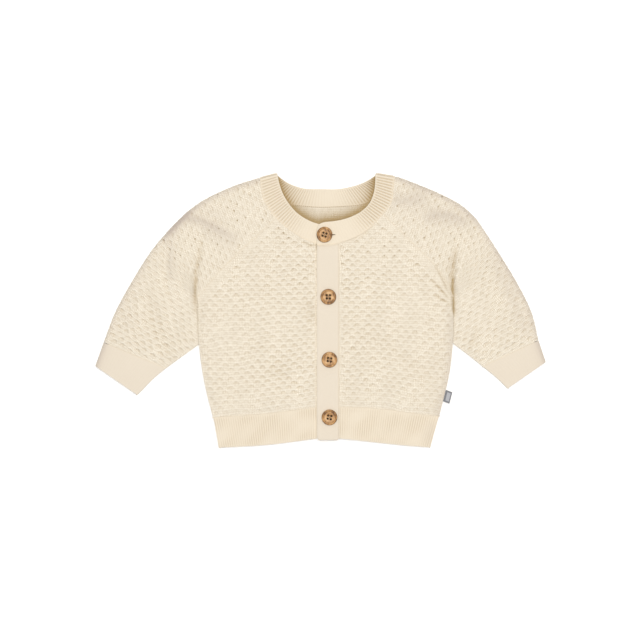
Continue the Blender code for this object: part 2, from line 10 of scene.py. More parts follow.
import bmesh
import bpy
import numpy as np
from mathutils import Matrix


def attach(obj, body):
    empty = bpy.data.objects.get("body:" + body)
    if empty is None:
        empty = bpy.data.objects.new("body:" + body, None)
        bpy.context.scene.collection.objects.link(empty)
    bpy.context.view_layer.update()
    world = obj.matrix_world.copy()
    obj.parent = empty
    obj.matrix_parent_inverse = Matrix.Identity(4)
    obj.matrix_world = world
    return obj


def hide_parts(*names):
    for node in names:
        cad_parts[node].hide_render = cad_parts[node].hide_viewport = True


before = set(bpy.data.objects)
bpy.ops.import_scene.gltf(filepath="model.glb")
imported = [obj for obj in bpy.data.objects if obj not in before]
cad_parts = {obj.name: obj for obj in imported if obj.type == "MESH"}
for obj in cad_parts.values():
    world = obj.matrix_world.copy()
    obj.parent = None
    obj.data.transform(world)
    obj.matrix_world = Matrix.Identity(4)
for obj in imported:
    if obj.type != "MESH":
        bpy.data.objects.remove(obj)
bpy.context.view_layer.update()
MM = 0.001

# %% [markdown]
# ## Camera, floor and light
# The photograph looks straight down on the cardigan, so the camera hangs above it with the neck
# towards the top of the picture. One pixel of the 640 is 0.95 mm on the cloth. A long lens from two
# metres keeps the sides of the sleeves out of sight, as they are there.

# %% Camera
PIXEL = 0.95 * MM
FRAME_WIDTH = 640 * PIXEL
CAMERA_HEIGHT = 2.0
VIEW_CENTRE = (-0.475 * MM, -9.12 * MM)

camera = bpy.data.objects.new("camera", bpy.data.cameras.new("camera"))
camera.data.sensor_width = 36
camera.data.lens = camera.data.sensor_width * CAMERA_HEIGHT / FRAME_WIDTH
camera.location = (*VIEW_CENTRE, CAMERA_HEIGHT)
bpy.context.collection.objects.link(camera)
bpy.context.scene.camera = camera
print("camera: lens %.0f mm, %.0f mm across" % (camera.data.lens, FRAME_WIDTH / MM))

# %% [markdown]
# Colours are written as sRGB hex values, as they would be picked from a photograph, and one function
# turns them into the linear values that a shader works with. One more function adds a node to any node
# tree, shading or geometry, with its settings and links, so that every tree below reads as a list. What
# goes into a node is a value or another node, given in order or by the name of the socket.

# %% Colours and nodes
def linear(hex_colour):
    """An sRGB hex colour as linear red, green, blue and alpha."""
    values = [int(hex_colour[k:k + 2], 16) / 255 for k in (0, 2, 4)]
    return [v / 12.92 if v <= 0.04045 else ((v + 0.055) / 1.055) ** 2.4 for v in values] + [1.0]


def connect(tree, node, inputs):
    """Gives input sockets their values, or links an output, or the first output of a node, to them."""
    for key, value in inputs.items():
        if isinstance(value, bpy.types.Node):
            value = value.outputs[0]
        if isinstance(value, bpy.types.NodeSocket):
            tree.links.new(value, node.inputs[key])
        else:
            node.inputs[key].default_value = value


def add(tree, kind, *values, **settings):
    """Adds a node. A kind in capitals is an operation of a maths node. A dictionary names the sockets."""
    made = tree.nodes.new("ShaderNodeMath" if kind.isupper() else kind)
    if kind.isupper():
        made.operation = kind
    for name, value in settings.items():
        setattr(made, name, value)
    named = values and isinstance(values[0], dict)
    connect(tree, made, values[0] if named else dict(enumerate(values)))
    return made


def new_material(name):
    """An empty material with a shader and an output, and its tree."""
    material = bpy.data.materials.new(name)
    material.use_nodes = True
    tree = material.node_tree
    tree.nodes.clear()
    shader = add(tree, "ShaderNodeBsdfPrincipled")
    add(tree, "ShaderNodeOutputMaterial", {"Surface": shader})
    return material, tree, shader


print("colours and nodes ready")

# %% [markdown]
# A white board lies under the cardigan. Two soft lights hang over it, a large warm one towards the
# neck and a weaker one at the lower left, and pale cool light comes from all round. They are large
# because the photograph has no hard shadow: its folds show only as slow changes of tone. The board, like
# every piece after it, is a mesh of points in millimetres with faces between them.

# %% Floor and light
FLOOR_HALF = 3000
FLOOR_LEVEL = -0.2        # just below the cardigan, so that the two don't flicker through each other


def new_piece(name, points, faces, edges=()):
    """An object with its own mesh, from points in millimetres."""
    mesh = bpy.data.meshes.new(name)
    mesh.from_pydata((np.array(points, float) * MM).tolist(), edges, faces)
    item = bpy.data.objects.new(name, mesh)
    bpy.context.collection.objects.link(item)
    return item


floor = new_piece("floor", [(x * FLOOR_HALF, y * FLOOR_HALF, FLOOR_LEVEL)
                            for x, y in ((-1, -1), (1, -1), (1, 1), (-1, 1))], [(0, 1, 2, 3)])
floor_paint, floor_tree, floor_shader = new_material("matt_white_studio_board")
connect(floor_tree, floor_shader, {"Base Color": linear("FBFBFA"), "Roughness": 0.9})
floor.data.materials.append(floor_paint)


def softbox(name, place, size, power, colour):
    """A square light that hangs at a place and faces the middle of the floor."""
    light = bpy.data.lights.new(name, "AREA")
    light.size = size
    light.energy = power
    light.color = linear(colour)[:3]
    item = bpy.data.objects.new(name, light)
    item.location = place
    item.rotation_euler = (-item.location).to_track_quat("-Z", "Y").to_euler()
    bpy.context.collection.objects.link(item)


softbox("key_light", (0.12, 0.2, 2.2), 0.9, 42.6, "FFF8EE")
softbox("fill_light", (-0.4, -0.3, 2.4), 1.4, 8.7, "FFFFFF")
world = bpy.data.worlds.new("studio")
world.use_nodes = True
connect(world.node_tree, world.node_tree.nodes["Background"], {"Color": linear("E6EEFF"), "Strength": 0.417})
bpy.context.scene.world = world
bpy.context.scene.view_settings.view_transform = "Standard"
print("floor and two softboxes")

# %% [markdown]
# ## The pattern of the cardigan
# A maker starts from flat pattern pieces. The lines below are the outline and the seams of the laid
# garment, in millimetres from the middle of its whole outline: the same lines that the solids were
# made from. Right and left are the wearer's. Each is a handful of points with a smooth curve through them.

# %% Outline and seam lines
LINES = {
    "right_shoulder": [(-58.6, 125.6), (-82, 118), (-107, 106.7), (-124.6, 94.9), (-142, 78.2),
                       (-161, 55.5), (-179, 27), (-194.5, -1.5), (-205.5, -30)],
    "left_shoulder": [(71.4, 126.9), (80.5, 124), (109, 112.5), (131.5, 101), (145, 89.5), (153.5, 78.5),
                      (168.3, 55.7), (185.7, 27.2), (199.8, -1.3), (206.6, -28)],
    "right_raglan": [(-42.3, 87.5), (-80.8, 51.7), (-93.6, 39.3), (-109.7, 20.3), (-116.4, 12.7)],
    "left_raglan": [(59.4, 91.6), (86, 65), (106, 45), (118.8, 28.5), (125.4, 13.5)],
    "right_back_raglan": [(-46.9, 111), (-75, 78), (-100, 42), (-116.4, 12.7)],
    "left_back_raglan": [(58.9, 111), (85, 78), (109, 42), (125.4, 13.5)],
    "right_underarm": [(-116.4, 12.7), (-116.35, -9), (-115.4, -32)],
    "left_underarm": [(125.4, 13.5), (125.9, -9), (125.7, -31)],
    "right_forearm": [(-115.4, -32), (-136.3, -47.1), (-146.8, -54.7)],
    "left_forearm": [(125.7, -31), (140.1, -42), (154, -53)],
    "right_cuff_fold": [(-205.7, -30.5), (-213.6, -52.7)],
    "left_cuff_fold": [(206.8, -28.5), (213.6, -48.8)],
    "right_cuff_seam": [(-146.8, -54.7), (-158.2, -64.2), (-169.8, -76), (-173.9, -80)],
    "left_cuff_seam": [(154, -53), (167.7, -64.2), (177.4, -73.9)],
    "right_side": [(-116.4, 12.7), (-116.3, -9), (-115.2, -32), (-111.9, -58.5), (-107.2, -81.3),
                   (-101.9, -101.3)],
    "left_side": [(125.4, 13.5), (125.8, -9), (125.4, -31), (122.4, -58.5), (117.2, -81.3),
                  (112.4, -100.3)],
    "right_hem_side": [(-101, -101.6), (-99.3, -111.7), (-96.4, -130.1)],
    "left_hem_side": [(110.6, -100.6), (108.2, -111.7), (104, -129.8)],
    "right_hem_top": [(-101.9, -101.3), (-71.7, -99.4), (-47, -97.3), (-24.2, -94.4), (-3.6, -91.5)],
    "left_hem_top": [(17.9, -91.4), (42.3, -92.2), (64.1, -94), (87.9, -97.5), (112.4, -100.3)],
    "right_hem_bottom": [(-96.4, -130.1), (-50.8, -127.4), (-3.6, -121.5)],
    "left_hem_bottom": [(17.9, -121.2), (73.6, -127.3), (104, -129.8)],
    "right_neck_edge": [(-40.6, 127.7), (-39.1, 120.6), (-35.6, 110.6), (-29.9, 101.1), (-22.3, 92.5),
                        (-12.5, 86), (-2.8, 82.2), (7, 81), (17.2, 81)],
    "right_neck_seam": [(-57.3, 123.3), (-56.1, 113.8), (-53.7, 103.9), (-48.4, 95.4), (-42.3, 87.5),
                        (-34.7, 80.2), (-25.2, 73.1), (-14.7, 67.3), (-3.6, 63), (7, 62.6), (17.2, 65)],
    "back_neck_edge": [(-40.6, 127.7), (-33.7, 122.5), (-26.1, 118.7), (-14.7, 115.5), (1, 115),
                       (16.6, 115.1), (31.8, 118), (42.8, 122.1), (52, 127.6)],
    "back_neck_seam": [(-57.3, 123.3), (-46.5, 111.5), (-32.8, 102), (-22.3, 99.7), (-0.5, 97.9),
                       (20.4, 98.7), (41.3, 101.1), (58.5, 111.5), (70.4, 124.6)],
    "left_neck_edge": [(52, 127.6), (51.8, 121), (50.5, 111.5), (46.6, 102), (39.4, 94.4), (29.9, 89.1),
                       (20.4, 85.9), (10.9, 84.3), (3.5, 83.5), (-1.5, 81.2), (-3.3, 77)],
    "left_neck_seam": [(70.4, 124.6), (69.1, 116), (68.4, 106.8), (65.9, 100), (59.4, 91.6),
                       (46.6, 77.9), (32.8, 69.2), (18, 63.9), (7.1, 61.9), (-3.3, 61.7)],
}


def curve(name, steps=12):
    """A smooth line through the points of a named line, as an array of many."""
    p = np.array(LINES[name] if isinstance(name, str) else name, float)
    p = np.vstack([2 * p[0] - p[1], p, 2 * p[-1] - p[-2]])
    t = np.linspace(0, 1, steps, endpoint=False)[:, None]
    spans = [b + t * (c - a) / 2 + t ** 2 * (2 * a - 5 * b + 4 * c - d) / 2
             + t ** 3 * (3 * b - a - 3 * c + d) / 2
             for a, b, c, d in zip(p[:-3], p[1:-2], p[2:-1], p[3:])]
    return np.vstack(spans + [p[-2:-1]])


def spaced(line, count):
    """The line again, as count equal steps."""
    length = np.concatenate([[0], np.cumsum(np.linalg.norm(np.diff(line, axis=0), axis=1))])
    at = np.linspace(0, length[-1], count + 1)
    return np.column_stack([np.interp(at, length, line[:, k]) for k in range(line.shape[1])])


def stretch(line, start, end):
    """The part of a line between the points nearest to start and to end."""
    first = np.argmin(np.linalg.norm(line - start, axis=1))
    last = np.argmin(np.linalg.norm(line - end, axis=1))
    return line[first:last + 1] if last > first else line[last:first + 1][::-1]


def chain(*parts):
    """Lines that follow each other, joined without doubling the points where they meet."""
    return np.vstack([parts[0]] + [part[1:] for part in parts[1:]])


def moved(line, distance):
    """A line moved sideways, to the left of its own direction."""
    along = np.gradient(line, axis=0)
    along /= np.linalg.norm(along, axis=1)[:, None]
    return line + distance * np.column_stack([-along[:, 1], along[:, 0]])


print(len(LINES), "lines of the pattern")

# %% [markdown]
# A panel is a net of points stretched between its four edges, as a knitted piece is between its
# seams. This blend of the four edge lines is called a Coons patch. The distance of each point of the
# net from a seam tells later how far the seam draws the knit down.

# %% Nets of points
FINE = 260                # points of a line that distances are measured from


def patch(left, right, top, bottom):
    """A net that fills four edge lines. Left and right run down, top and bottom run across."""
    v = np.linspace(0, 1, len(left))[:, None, None]
    u = np.linspace(0, 1, len(top))[None, :, None]
    corners = ((1 - u) * (1 - v) * top[0] + u * (1 - v) * top[-1]
               + (1 - u) * v * bottom[0] + u * v * bottom[-1])
    return ((1 - u) * left[:, None] + u * right[:, None]
            + (1 - v) * top[None] + v * bottom[None] - corners)


def away(net, line):
    """How far each point of a net lies from a line."""
    nearest = np.full(net.shape[:-1], np.inf)
    for point in spaced(line, FINE):
        nearest = np.minimum(nearest, np.hypot(net[..., 0] - point[0], net[..., 1] - point[1]))
    return nearest


def ease(distance, reach):
    """0 at an edge and 1 from reach inwards, with a soft start and end."""
    t = np.clip(distance / reach, 0, 1)
    return t * t * (3 - 2 * t)


def settle(top, distance, level, reach):
    """Brings a surface smoothly to a level over the last stretch before an edge."""
    return level + (top - level) * ease(distance, reach)


def sewn_down(top, *seams):
    """A surface brought down to several seams, each with its distances, its level and its reach."""
    for distance, level, reach in seams:
        top = settle(top, distance, level, reach)
    return top


def raised(net, top):
    """A net of plan points lifted to the given heights."""
    return np.dstack([net, np.broadcast_to(top, net.shape[:-1])])


print("nets ready")

# %% [markdown]
# ## How the knit lies
# Two layers of knit lie on each other, and the front one swells a little where it isn't sewn down.
# Soft creases were left when the garment was laid: deep ones at the armpits, where the sleeves fold
# towards the sides, and shallow ones elsewhere. They are listed one row each, since no two are
# alike: a simulation would make its own creases, not these.

# %% Heights and creases
KNIT = 2.2                # thickness of the knit
SEAM = 0.3                # gap between two layers
JOIN = 0.08               # gap between two edges that are sewn together
JOIN_STEP = 1.5 * JOIN    # the same gap, measured along X on a slanting seam
BACK_TOP = KNIT
LOWEST_TOP = BACK_TOP + SEAM + KNIT
LAP_TOP = LOWEST_TOP + SEAM + KNIT
BODY_TOP = 6.0
SLEEVE_TOP = 6.4
RAGLAN_TOP = 5.6
RIB_TOP = 5.2
FOLD_RADIUS = RIB_TOP / 2
FOLD_REACH = 1.6 * FOLD_RADIUS   # the turn at a fold is flatter than a half circle
BAND_LEFT, BAND_RIGHT = -3.3, 17.6
BAND_MIDDLE = (BAND_LEFT + BAND_RIGHT) / 2
BAND_TOP, BAND_BOTTOM = 63.0, -123.0
BAND_SIDE_TOP = {"right": LOWEST_TOP + 0.5, "left": LAP_TOP}   # the level of each front beside its band
# From how far away the knit comes down to a seam or an edge, in millimetres.
REACH = {"raglan": 6, "side": 8, "neck": 7, "hem": 7, "cuff": 12, "fold": 14, "band": 22}

# Columns: what it is, start, middle, end, half-width, rise of its middle, all in millimetres.
CREASES = [
    ("right shoulder crease", (-146, 68), (-127, 94), (-76, 73), 4.2, -1.7),
    ("swelling under it", (-141, 64), (-120, 83), (-84, 62), 4.5, 1.1),
    ("right sleeve head", (-128, 76), (-133, 48), (-136, 8), 6.5, 1.1),
    ("right armpit crease", (-111, 74), (-118, 36), (-118.5, -12), 3.6, -1.7),
    ("its deepest part", (-117.5, 40), (-118.5, 14), (-118.4, -8), 2.0, -1.2),
    ("swelling on its outer side", (-122, 62), (-125, 34), (-126, 2), 3.6, 0.9),
    ("right sleeve, long hollow", (-144, 66), (-147, 40), (-144, 12), 4.0, -1.2),
    ("right elbow hollow", (-168, 26), (-158, -10), (-143, -44), 6.0, -1.0),
    ("right elbow swelling", (-178, -3), (-170, -20), (-160, -36), 8.0, 0.6),
    ("right outer arm", (-180, 22), (-192, -5), (-201, -26), 5.0, -0.7),
    ("right underarm swelling", (-131, 8), (-130, -12), (-127, -34), 6.0, 0.7),
    ("left armpit crease", (132, 74), (125, 36), (126, -16), 3.4, -1.7),
    ("its deepest part", (126, 44), (124.6, 28), (125.4, 2), 2.2, -1.3),
    ("swelling on its outer side", (134, 56), (135, 20), (137, -12), 5.0, 1.0),
    ("left sleeve head", (141, 78), (144, 62), (141, 44), 8.0, 1.3),
    ("left shoulder crease", (93, 110), (80, 101), (66, 83), 4.0, -1.2),
    ("left shoulder hollow", (104, 92), (124, 97), (146, 86), 4.5, -1.6),
    ("swelling under it", (112, 84), (128, 86), (144, 76), 4.5, 0.9),
    ("left sleeve, long hollow", (158, 50), (160, 20), (154, -8), 6.5, -0.7),
    ("left forearm crease", (149, -12), (146, -26), (139, -38), 2.2, -1.1),
    ("left elbow swelling", (172, 6), (176, -14), (170, -36), 8.0, 0.6),
    ("left outer arm", (172, 22), (190, -8), (203, -32), 5.0, -0.7),
    ("hollow under the second button", (40, -14), (74, -37), (108, -71), 7.0, -0.8),
    ("swelling below it", (30, -38), (52, -58), (74, -78), 9.0, 0.9),
    ("short hollow by the band", (30, -50), (30, -66), (35, -88), 5.0, -0.9),
    ("right front, upper hollow", (-18, 16), (-11, 0), (-7, -20), 6.0, -0.9),
    ("right front, lower hollow", (-54, -46), (-40, -58), (-26, -64), 7.0, -0.6),
    ("right front, side swelling", (-106, 0), (-100, -16), (-84, -26), 9.0, 0.6),
    ("right front, low swelling", (-66, -70), (-52, -80), (-34, -84), 9.0, 0.6),
    ("left hem hollow", (80, -103), (86, -112), (88, -124), 7.0, -0.5),
    ("left front, side swelling", (96, 6), (104, -14), (108, -36), 8.0, 0.6),
    ("gathers into the left armpit", (108, 44), (115, 30), (124, 11), 1.4, -0.8),
    ("second gather", (104, 31), (114, 20), (124, 8), 1.4, -0.8),
    ("third gather", (107, 15), (116, 10), (125, 5), 1.4, -0.8),
    ("fourth gather", (100, 4), (112, 3), (125, 3), 1.3, -0.4),
    ("gathers into the right armpit", (-131, 60), (-126, 52), (-119, 42), 1.4, -0.5),
    ("second gather", (-132, 46), (-126, 40), (-119, 30), 1.4, -0.5),
    ("third gather", (-132, 33), (-126, 27), (-120, 18), 1.4, -0.5),
    ("fourth gather", (-131, 20), (-126, 14), (-120, 6), 1.4, -0.4),
    ("gathers on the right front", (-112, 22), (-104, 28), (-92, 32), 1.6, -0.3),
    ("lower one", (-112, 10), (-103, 14), (-90, 16), 1.6, -0.3),
    ("fold under the neckband's right end", (-17, 65), (-10, 62.4), (-3, 61.6), 0.9, -0.5),
]

# Painted shade: where light bounces between folds of cream cloth its colour is made deeper, and where
# the cloth turns away from the light, towards the white room, it is made cooler and greyer. Columns: what
# it is, start, middle, end, half-width, how deep or cool (-).
SHADES = [
    ("right armpit crease", (-112, 66), (-118.4, 32), (-119, -6), 2.3, 0.26),
    ("its darkest part", (-117.6, 34), (-118.8, 18), (-118.6, 6), 1.6, 0.25),
    ("right underarm", (-116.4, 14), (-116.3, -9), (-115.4, -30), 1.2, 0.3),
    ("right elbow", (-167, 34), (-158, -6), (-141, -46), 8.0, 0.05),
    ("right shoulder arc", (-148, 62), (-126, 87), (-77, 67), 4.2, -0.46),
    ("above it", (-150, 72), (-118, 94), (-84, 82), 8.0, -0.12),
    ("below it", (-114, 78), (-96, 71), (-78, 60), 8.0, -0.16),
    ("right sleeve, upper stripe", (-143, 68), (-142, 50), (-143, 26), 4.0, -0.2),
    ("right outer sleeve", (-160, 54), (-177, 12), (-193, -28), 8.0, -0.08),
    ("left armpit crease", (128.5, 62), (125.4, 32), (126, -8), 2.3, 0.32),
    ("its darkest part", (125.3, 34), (125, 10), (125.6, -6), 2.0, 0.5),
    ("the cloth beside it", (124, 54), (120, 30), (121, 2), 5.0, 0.08),
    ("left underarm", (125.6, 12), (125.9, -9), (125.5, -30), 1.2, 0.3),
    ("first gather", (108, 44), (115, 30), (124, 11), 1.2, 0.3),
    ("second gather", (104, 31), (114, 20), (124, 8), 1.2, 0.3),
    ("third gather", (107, 15), (116, 10), (125, 5), 1.2, 0.3),
    ("left forearm lines", (149, -14), (146, -26), (140, -36), 2.4, 0.1),
    ("left shoulder grey", (96, 86), (118, 90), (146, 80), 6.0, -0.34),
    ("left shoulder streak", (62, 104), (82, 104), (102, 110), 7.0, -0.26),
    ("left outer sleeve", (158, 66), (181, 14), (198, -26), 8.0, -0.22),
    ("left hem end", (107, -104), (104, -116), (101, -129), 6.0, -0.2),
    ("left shoulder", (66, 116), (98, 98), (138, 80), 15.0, -0.12),
    ("fold under the neckband's right end", (-17, 65), (-10, 62.4), (-3, 61.6), 0.8, 0.35),
    ("gap below the neckband's end", (-3.6, 66), (-3.5, 62), (-3.5, 56), 0.9, 0.6),
    ("edge of the lap", (-3.6, 70), (-3.6, -20), (-3.6, -100), 0.8, 0.25),
    ("right front patch", (-14, 10), (-9, 0), (-8, -14), 7.0, 0.1),
    ("right front, low patch", (-48, -50), (-38, -58), (-28, -62), 7.0, 0.06),
    ("left front, shade below the button", (40, -14), (74, -40), (112, -72), 7.0, 0.04),
]


def creased(net, level):
    """The height of relaxed knit at each point of a net, and its painted shade: deeper above 0, cooler
    below.
    """
    sums = []
    for table in (CREASES, SHADES):
        total = np.zeros(net.shape[:-1])
        for _, start, middle, end, half_width, change in table:
            line = curve([start, middle, end])
            gap = np.full(total.shape, np.inf)
            place = np.zeros(total.shape)
            for k, point in enumerate(line):
                reach = np.hypot(net[..., 0] - point[0], net[..., 1] - point[1])
                place = np.where(reach < gap, 2 * k / (len(line) - 1) - 1, place)
                gap = np.minimum(gap, reach)
            total += change * (1 - place ** 4) * np.exp(-(gap / half_width) ** 2)
        sums.append(total)
    return np.maximum(level + sums[0], LOWEST_TOP), sums[1]


print(len(CREASES), "creases and swellings,", len(SHADES), "shades")

# %% [markdown]
# ## A shell of knit
# Each piece of cloth becomes a closed wall: a fine net on the side that shows, a coarser one on the
# other side, and a rim between them. Every point also carries the attribute "knit": how many
# millimetres it lies across and along the rows of stitches, and how strongly the stitch pattern stands
# out there. The relief, and later the stitches in the material, follow that attribute, so they turn
# with the cloth wherever it goes. A second attribute, "lie", holds the painted shade at each point: how
# much deeper or cooler its colour is made where light would bounce in a fold, or where the cloth turns
# away from the light. It also holds how far the tucks are stretched open there.

# %% Shells
COARSE = 4                # one step of the hidden net for so many of the fine one
SHARP = math.radians(60)  # a rim that turns further stays a sharp edge
NETS = {}                 # the fine net of every piece, kept to measure how large it was cut


def face_outward(mesh):
    """Turns the faces of a closed mesh outward and shades it smooth."""
    work = bmesh.new()
    work.from_mesh(mesh)
    bmesh.ops.recalc_face_normals(work, faces=work.faces)
    work.to_mesh(mesh)
    work.free()
    mesh.shade_smooth()


def shell(name, outer, inner, knit, lie, step=COARSE):
    """A closed wall between a fine outer net and an inner net that has every step-th point."""
    NETS[name] = outer
    inner = inner[::step, ::step]
    rows, columns = outer.shape[:2]
    low_rows, low_columns = inner.shape[:2]
    index = np.arange(rows * columns).reshape(rows, columns)
    under = np.arange(low_rows * low_columns).reshape(low_rows, low_columns) + rows * columns
    quads = [np.stack([net[:-1, :-1], net[1:, :-1], net[1:, 1:], net[:-1, 1:]], -1).reshape(-1, 4)
             for net in (index, under)]
    faces = quads[0].tolist() + quads[1].tolist()
    ring = np.concatenate([index[:-1, 0], index[-1, :-1], index[:0:-1, -1], index[0, :0:-1]])
    low_ring = np.concatenate([under[:-1, 0], under[-1, :-1], under[:0:-1, -1], under[0, :0:-1]])
    for k in range(len(low_ring)):
        fine = [ring[(k * step + n) % len(ring)] for n in range(step + 1)]
        faces.append([int(v) for v in fine + [low_ring[(k + 1) % len(low_ring)], low_ring[k]]])
    item = new_piece(name, np.vstack([outer.reshape(-1, 3), inner.reshape(-1, 3)]), faces)
    face_outward(item.data)
    item.data.set_sharp_from_angle(angle=SHARP)
    hidden = knit[::step, ::step].copy()
    if step > 1:
        hidden[..., 2] = 0
    for title, fine, low in (("knit", knit, hidden), ("lie", lie, lie[::step, ::step])):
        values = np.vstack([fine.reshape(-1, 3), low.reshape(-1, 3)])
        made = item.data.attributes.new(title, "FLOAT_VECTOR", "POINT")
        made.data.foreach_set("vector", values.ravel())
    return item


def channels(net, first, second=0.0, third=0.0):
    """Three values for each point of a net, as one attribute."""
    return np.dstack([np.broadcast_to(value, net.shape[:-1]) for value in (first, second, third)])


print("shell function ready")

# %% [markdown]
# ## Honeycomb knit
# The body and the sleeves are knitted in a tuck stitch: some stitches are held over a few rows, so
# the rows between them puff up into staggered cells, each with a dark pocket where the held stitch
# draws the knit in. It repeats a thousand times over curved cloth, so Geometry Nodes make it: a
# formula lifts each point along its normal. Two cosines, across and along the rows, make staggered
# puffs and pockets; moving the rows by the same pattern bends each pocket into the arch that shows.

# %% Relief by Geometry Nodes
BODY_CELL = (10.0, 4.33)  # width of a honeycomb cell and height of its row, mm
SLEEVE_CELL = (9.6, 4.75)
BOW = 1.0                 # how far the middle of a pocket's arch stands over its level, mm
BODY_RISE = 0.64          # how far a whole cell rises and sinks, mm


def scales(tree, knit, width, height, bow):
    """Arched pockets like the shadows under fish scales: two sets, staggered by half a cell."""
    pocket = lip = eyelet = 0.0
    for shift in (0.0, 0.5):
        turns = add(tree, "SUBTRACT", add(tree, "DIVIDE", knit.outputs["X"], width), shift)
        wave = add(tree, "COSINE", add(tree, "MULTIPLY", turns, 2 * math.pi))
        bowed = add(tree, "MULTIPLY_ADD", wave, bow, add(tree, "MULTIPLY", height, 2 * shift))
        rows = add(tree, "DIVIDE", add(tree, "SUBTRACT", bowed, knit.outputs["Y"]),
                   add(tree, "MULTIPLY", height, 2.0))
        nearest = add(tree, "ROUND", turns)
        below = add(tree, "FRACT", rows)
        cell = add(tree, "ShaderNodeCombineXYZ", nearest, add(tree, "FLOOR", rows), shift)
        luck = add(tree, "ShaderNodeTexWhiteNoise", {"Vector": cell}).outputs["Value"]
        # Soft steps: how wide a pocket is, its upper edge, its lower end, and the lip over the next one.
        half_wave, opens, closes, edge = [
            add(tree, "ShaderNodeMapRange", {"Value": value, "From Min": low, "From Max": high,
                                             "To Min": start, "To Max": 1.0 - start},
                interpolation_type="SMOOTHSTEP")
            for value, low, high, start in ((wave, -0.75, 0.35, 0.0), (below, 0.0, 0.09, 0.0),
                                            (below, 0.05, 0.38, 1.0), (below, 0.78, 0.96, 0.0))]
        amount = add(tree, "MULTIPLY", half_wave, add(tree, "MULTIPLY_ADD", luck, 0.25, 0.88))
        pocket = add(tree, "MULTIPLY_ADD", add(tree, "MULTIPLY", opens, closes), amount, pocket)
        lip = add(tree, "MULTIPLY_ADD", edge, half_wave, lip)
        # An eyelet is a soft dot just below the pocket's upper edge, about 1.3 mm wide.
        side = add(tree, "MULTIPLY", add(tree, "SUBTRACT", turns, nearest), 14.0)
        down = add(tree, "SUBTRACT", below, 0.1)
        spot = add(tree, "MULTIPLY_ADD", down, add(tree, "MULTIPLY", down, 220.0),
                   add(tree, "POWER", side, 2.0))
        dot = add(tree, "EXPONENT", add(tree, "MULTIPLY", spot, -1.0))
        eyelet = add(tree, "MULTIPLY_ADD", dot, luck, eyelet)
    return pocket, lip, eyelet


def open_tree(name, sizes):
    """A geometry tree that takes a geometry, named sizes and a material."""
    tree = bpy.data.node_groups.new(name, "GeometryNodeTree")
    tree.interface.new_socket("Geometry", in_out="INPUT", socket_type="NodeSocketGeometry")
    tree.interface.new_socket("Geometry", in_out="OUTPUT", socket_type="NodeSocketGeometry")
    for size, value in sizes.items():
        tree.interface.new_socket(size, in_out="INPUT", socket_type="NodeSocketFloat").default_value = value
    tree.interface.new_socket("Material", in_out="INPUT", socket_type="NodeSocketMaterial")
    return tree, add(tree, "NodeGroupInput")


def close_tree(tree, inputs, geometry):
    """Makes the geometry real, gives it the material and hands it out."""
    real = add(tree, "GeometryNodeRealizeInstances", geometry)
    painted = add(tree, "GeometryNodeSetMaterial", {"Geometry": real,
                                                    "Material": inputs.outputs["Material"]})
    add(tree, "NodeGroupOutput", painted)
    return tree


def knit_values(tree):
    """The attribute "knit": across, along and strength."""
    knit = add(tree, "GeometryNodeInputNamedAttribute", {"Name": "knit"}, data_type="FLOAT_VECTOR")
    return add(tree, "ShaderNodeSeparateXYZ", knit.outputs["Attribute"])


def finish_relief(tree, inputs, height, hollow):
    """Moves the points along their normals and stores how hollow each one lies."""
    offset = add(tree, "ShaderNodeVectorMath", {0: add(tree, "GeometryNodeInputNormal"), "Scale": height},
                 operation="SCALE")
    lifted = add(tree, "GeometryNodeSetPosition", {"Geometry": inputs.outputs["Geometry"],
                                                   "Offset": offset})
    stored = add(tree, "GeometryNodeStoreNamedAttribute",
                 {"Geometry": lifted, "Name": "hollow", "Value": hollow}, data_type="FLOAT", domain="POINT")
    return close_tree(tree, inputs, stored)


def honeycomb_tree():
    """Puffs and pockets on the right side of the cloth."""
    tree, inputs = open_tree("honeycomb_relief", {
        "Cell width": BODY_CELL[0], "Row height": BODY_CELL[1], "Bow": BOW, "Rise": BODY_RISE * MM})
    knit = knit_values(tree)
    pocket, lip, _ = scales(tree, knit, inputs.outputs["Cell width"], inputs.outputs["Row height"],
                            inputs.outputs["Bow"])
    level = add(tree, "MULTIPLY_ADD", lip, 0.36, add(tree, "SUBTRACT", 0.25, pocket))
    height = add(tree, "MULTIPLY", add(tree, "MULTIPLY", level, knit.outputs["Z"]), inputs.outputs["Rise"])
    # The material paints the cloth darker by this amount, as the shade in the pockets.
    hollow = add(tree, "MULTIPLY", add(tree, "MULTIPLY_ADD", lip, -0.5, pocket), knit.outputs["Z"])
    return finish_relief(tree, inputs, height, hollow)


def rib_tree():
    """Rounded ribs with a narrow groove between them."""
    tree, inputs = open_tree("rib_relief", {"Rib spacing": 2.3, "Rise": 0.5 * MM})
    knit = knit_values(tree)
    turn = add(tree, "DIVIDE", math.pi, inputs.outputs["Rib spacing"])
    wave = add(tree, "COSINE", add(tree, "MULTIPLY", knit.outputs["X"], turn))
    rib = add(tree, "POWER", add(tree, "ABSOLUTE", wave), 0.7)
    level = add(tree, "MULTIPLY", add(tree, "SUBTRACT", rib, 0.6), knit.outputs["Z"])
    height = add(tree, "MULTIPLY", level, inputs.outputs["Rise"])
    # The material paints the cloth darker by this amount, as the shade in the grooves.
    hollow = add(tree, "MULTIPLY", add(tree, "SUBTRACT", 1.0, rib), knit.outputs["Z"])
    return finish_relief(tree, inputs, height, hollow)


HONEYCOMB = honeycomb_tree()
RIBS = rib_tree()
print("relief:", len(HONEYCOMB.nodes), "nodes for the honeycomb,", len(RIBS.nodes), "for ribs")

# %% [markdown]
# A tree works as a modifier. Once it has run on a piece, its result is kept as the piece's plain mesh,
# so that what is seen, measured and exported is the same.

# %% Running a tree on a piece
def keep_result(item):
    """Makes what its modifiers turn a piece into its plain mesh."""
    graph = bpy.context.evaluated_depsgraph_get()
    result = bpy.data.meshes.new_from_object(item.evaluated_get(graph), preserve_all_data_layers=True,
                                             depsgraph=graph)
    item.modifiers.clear()
    item.data = result


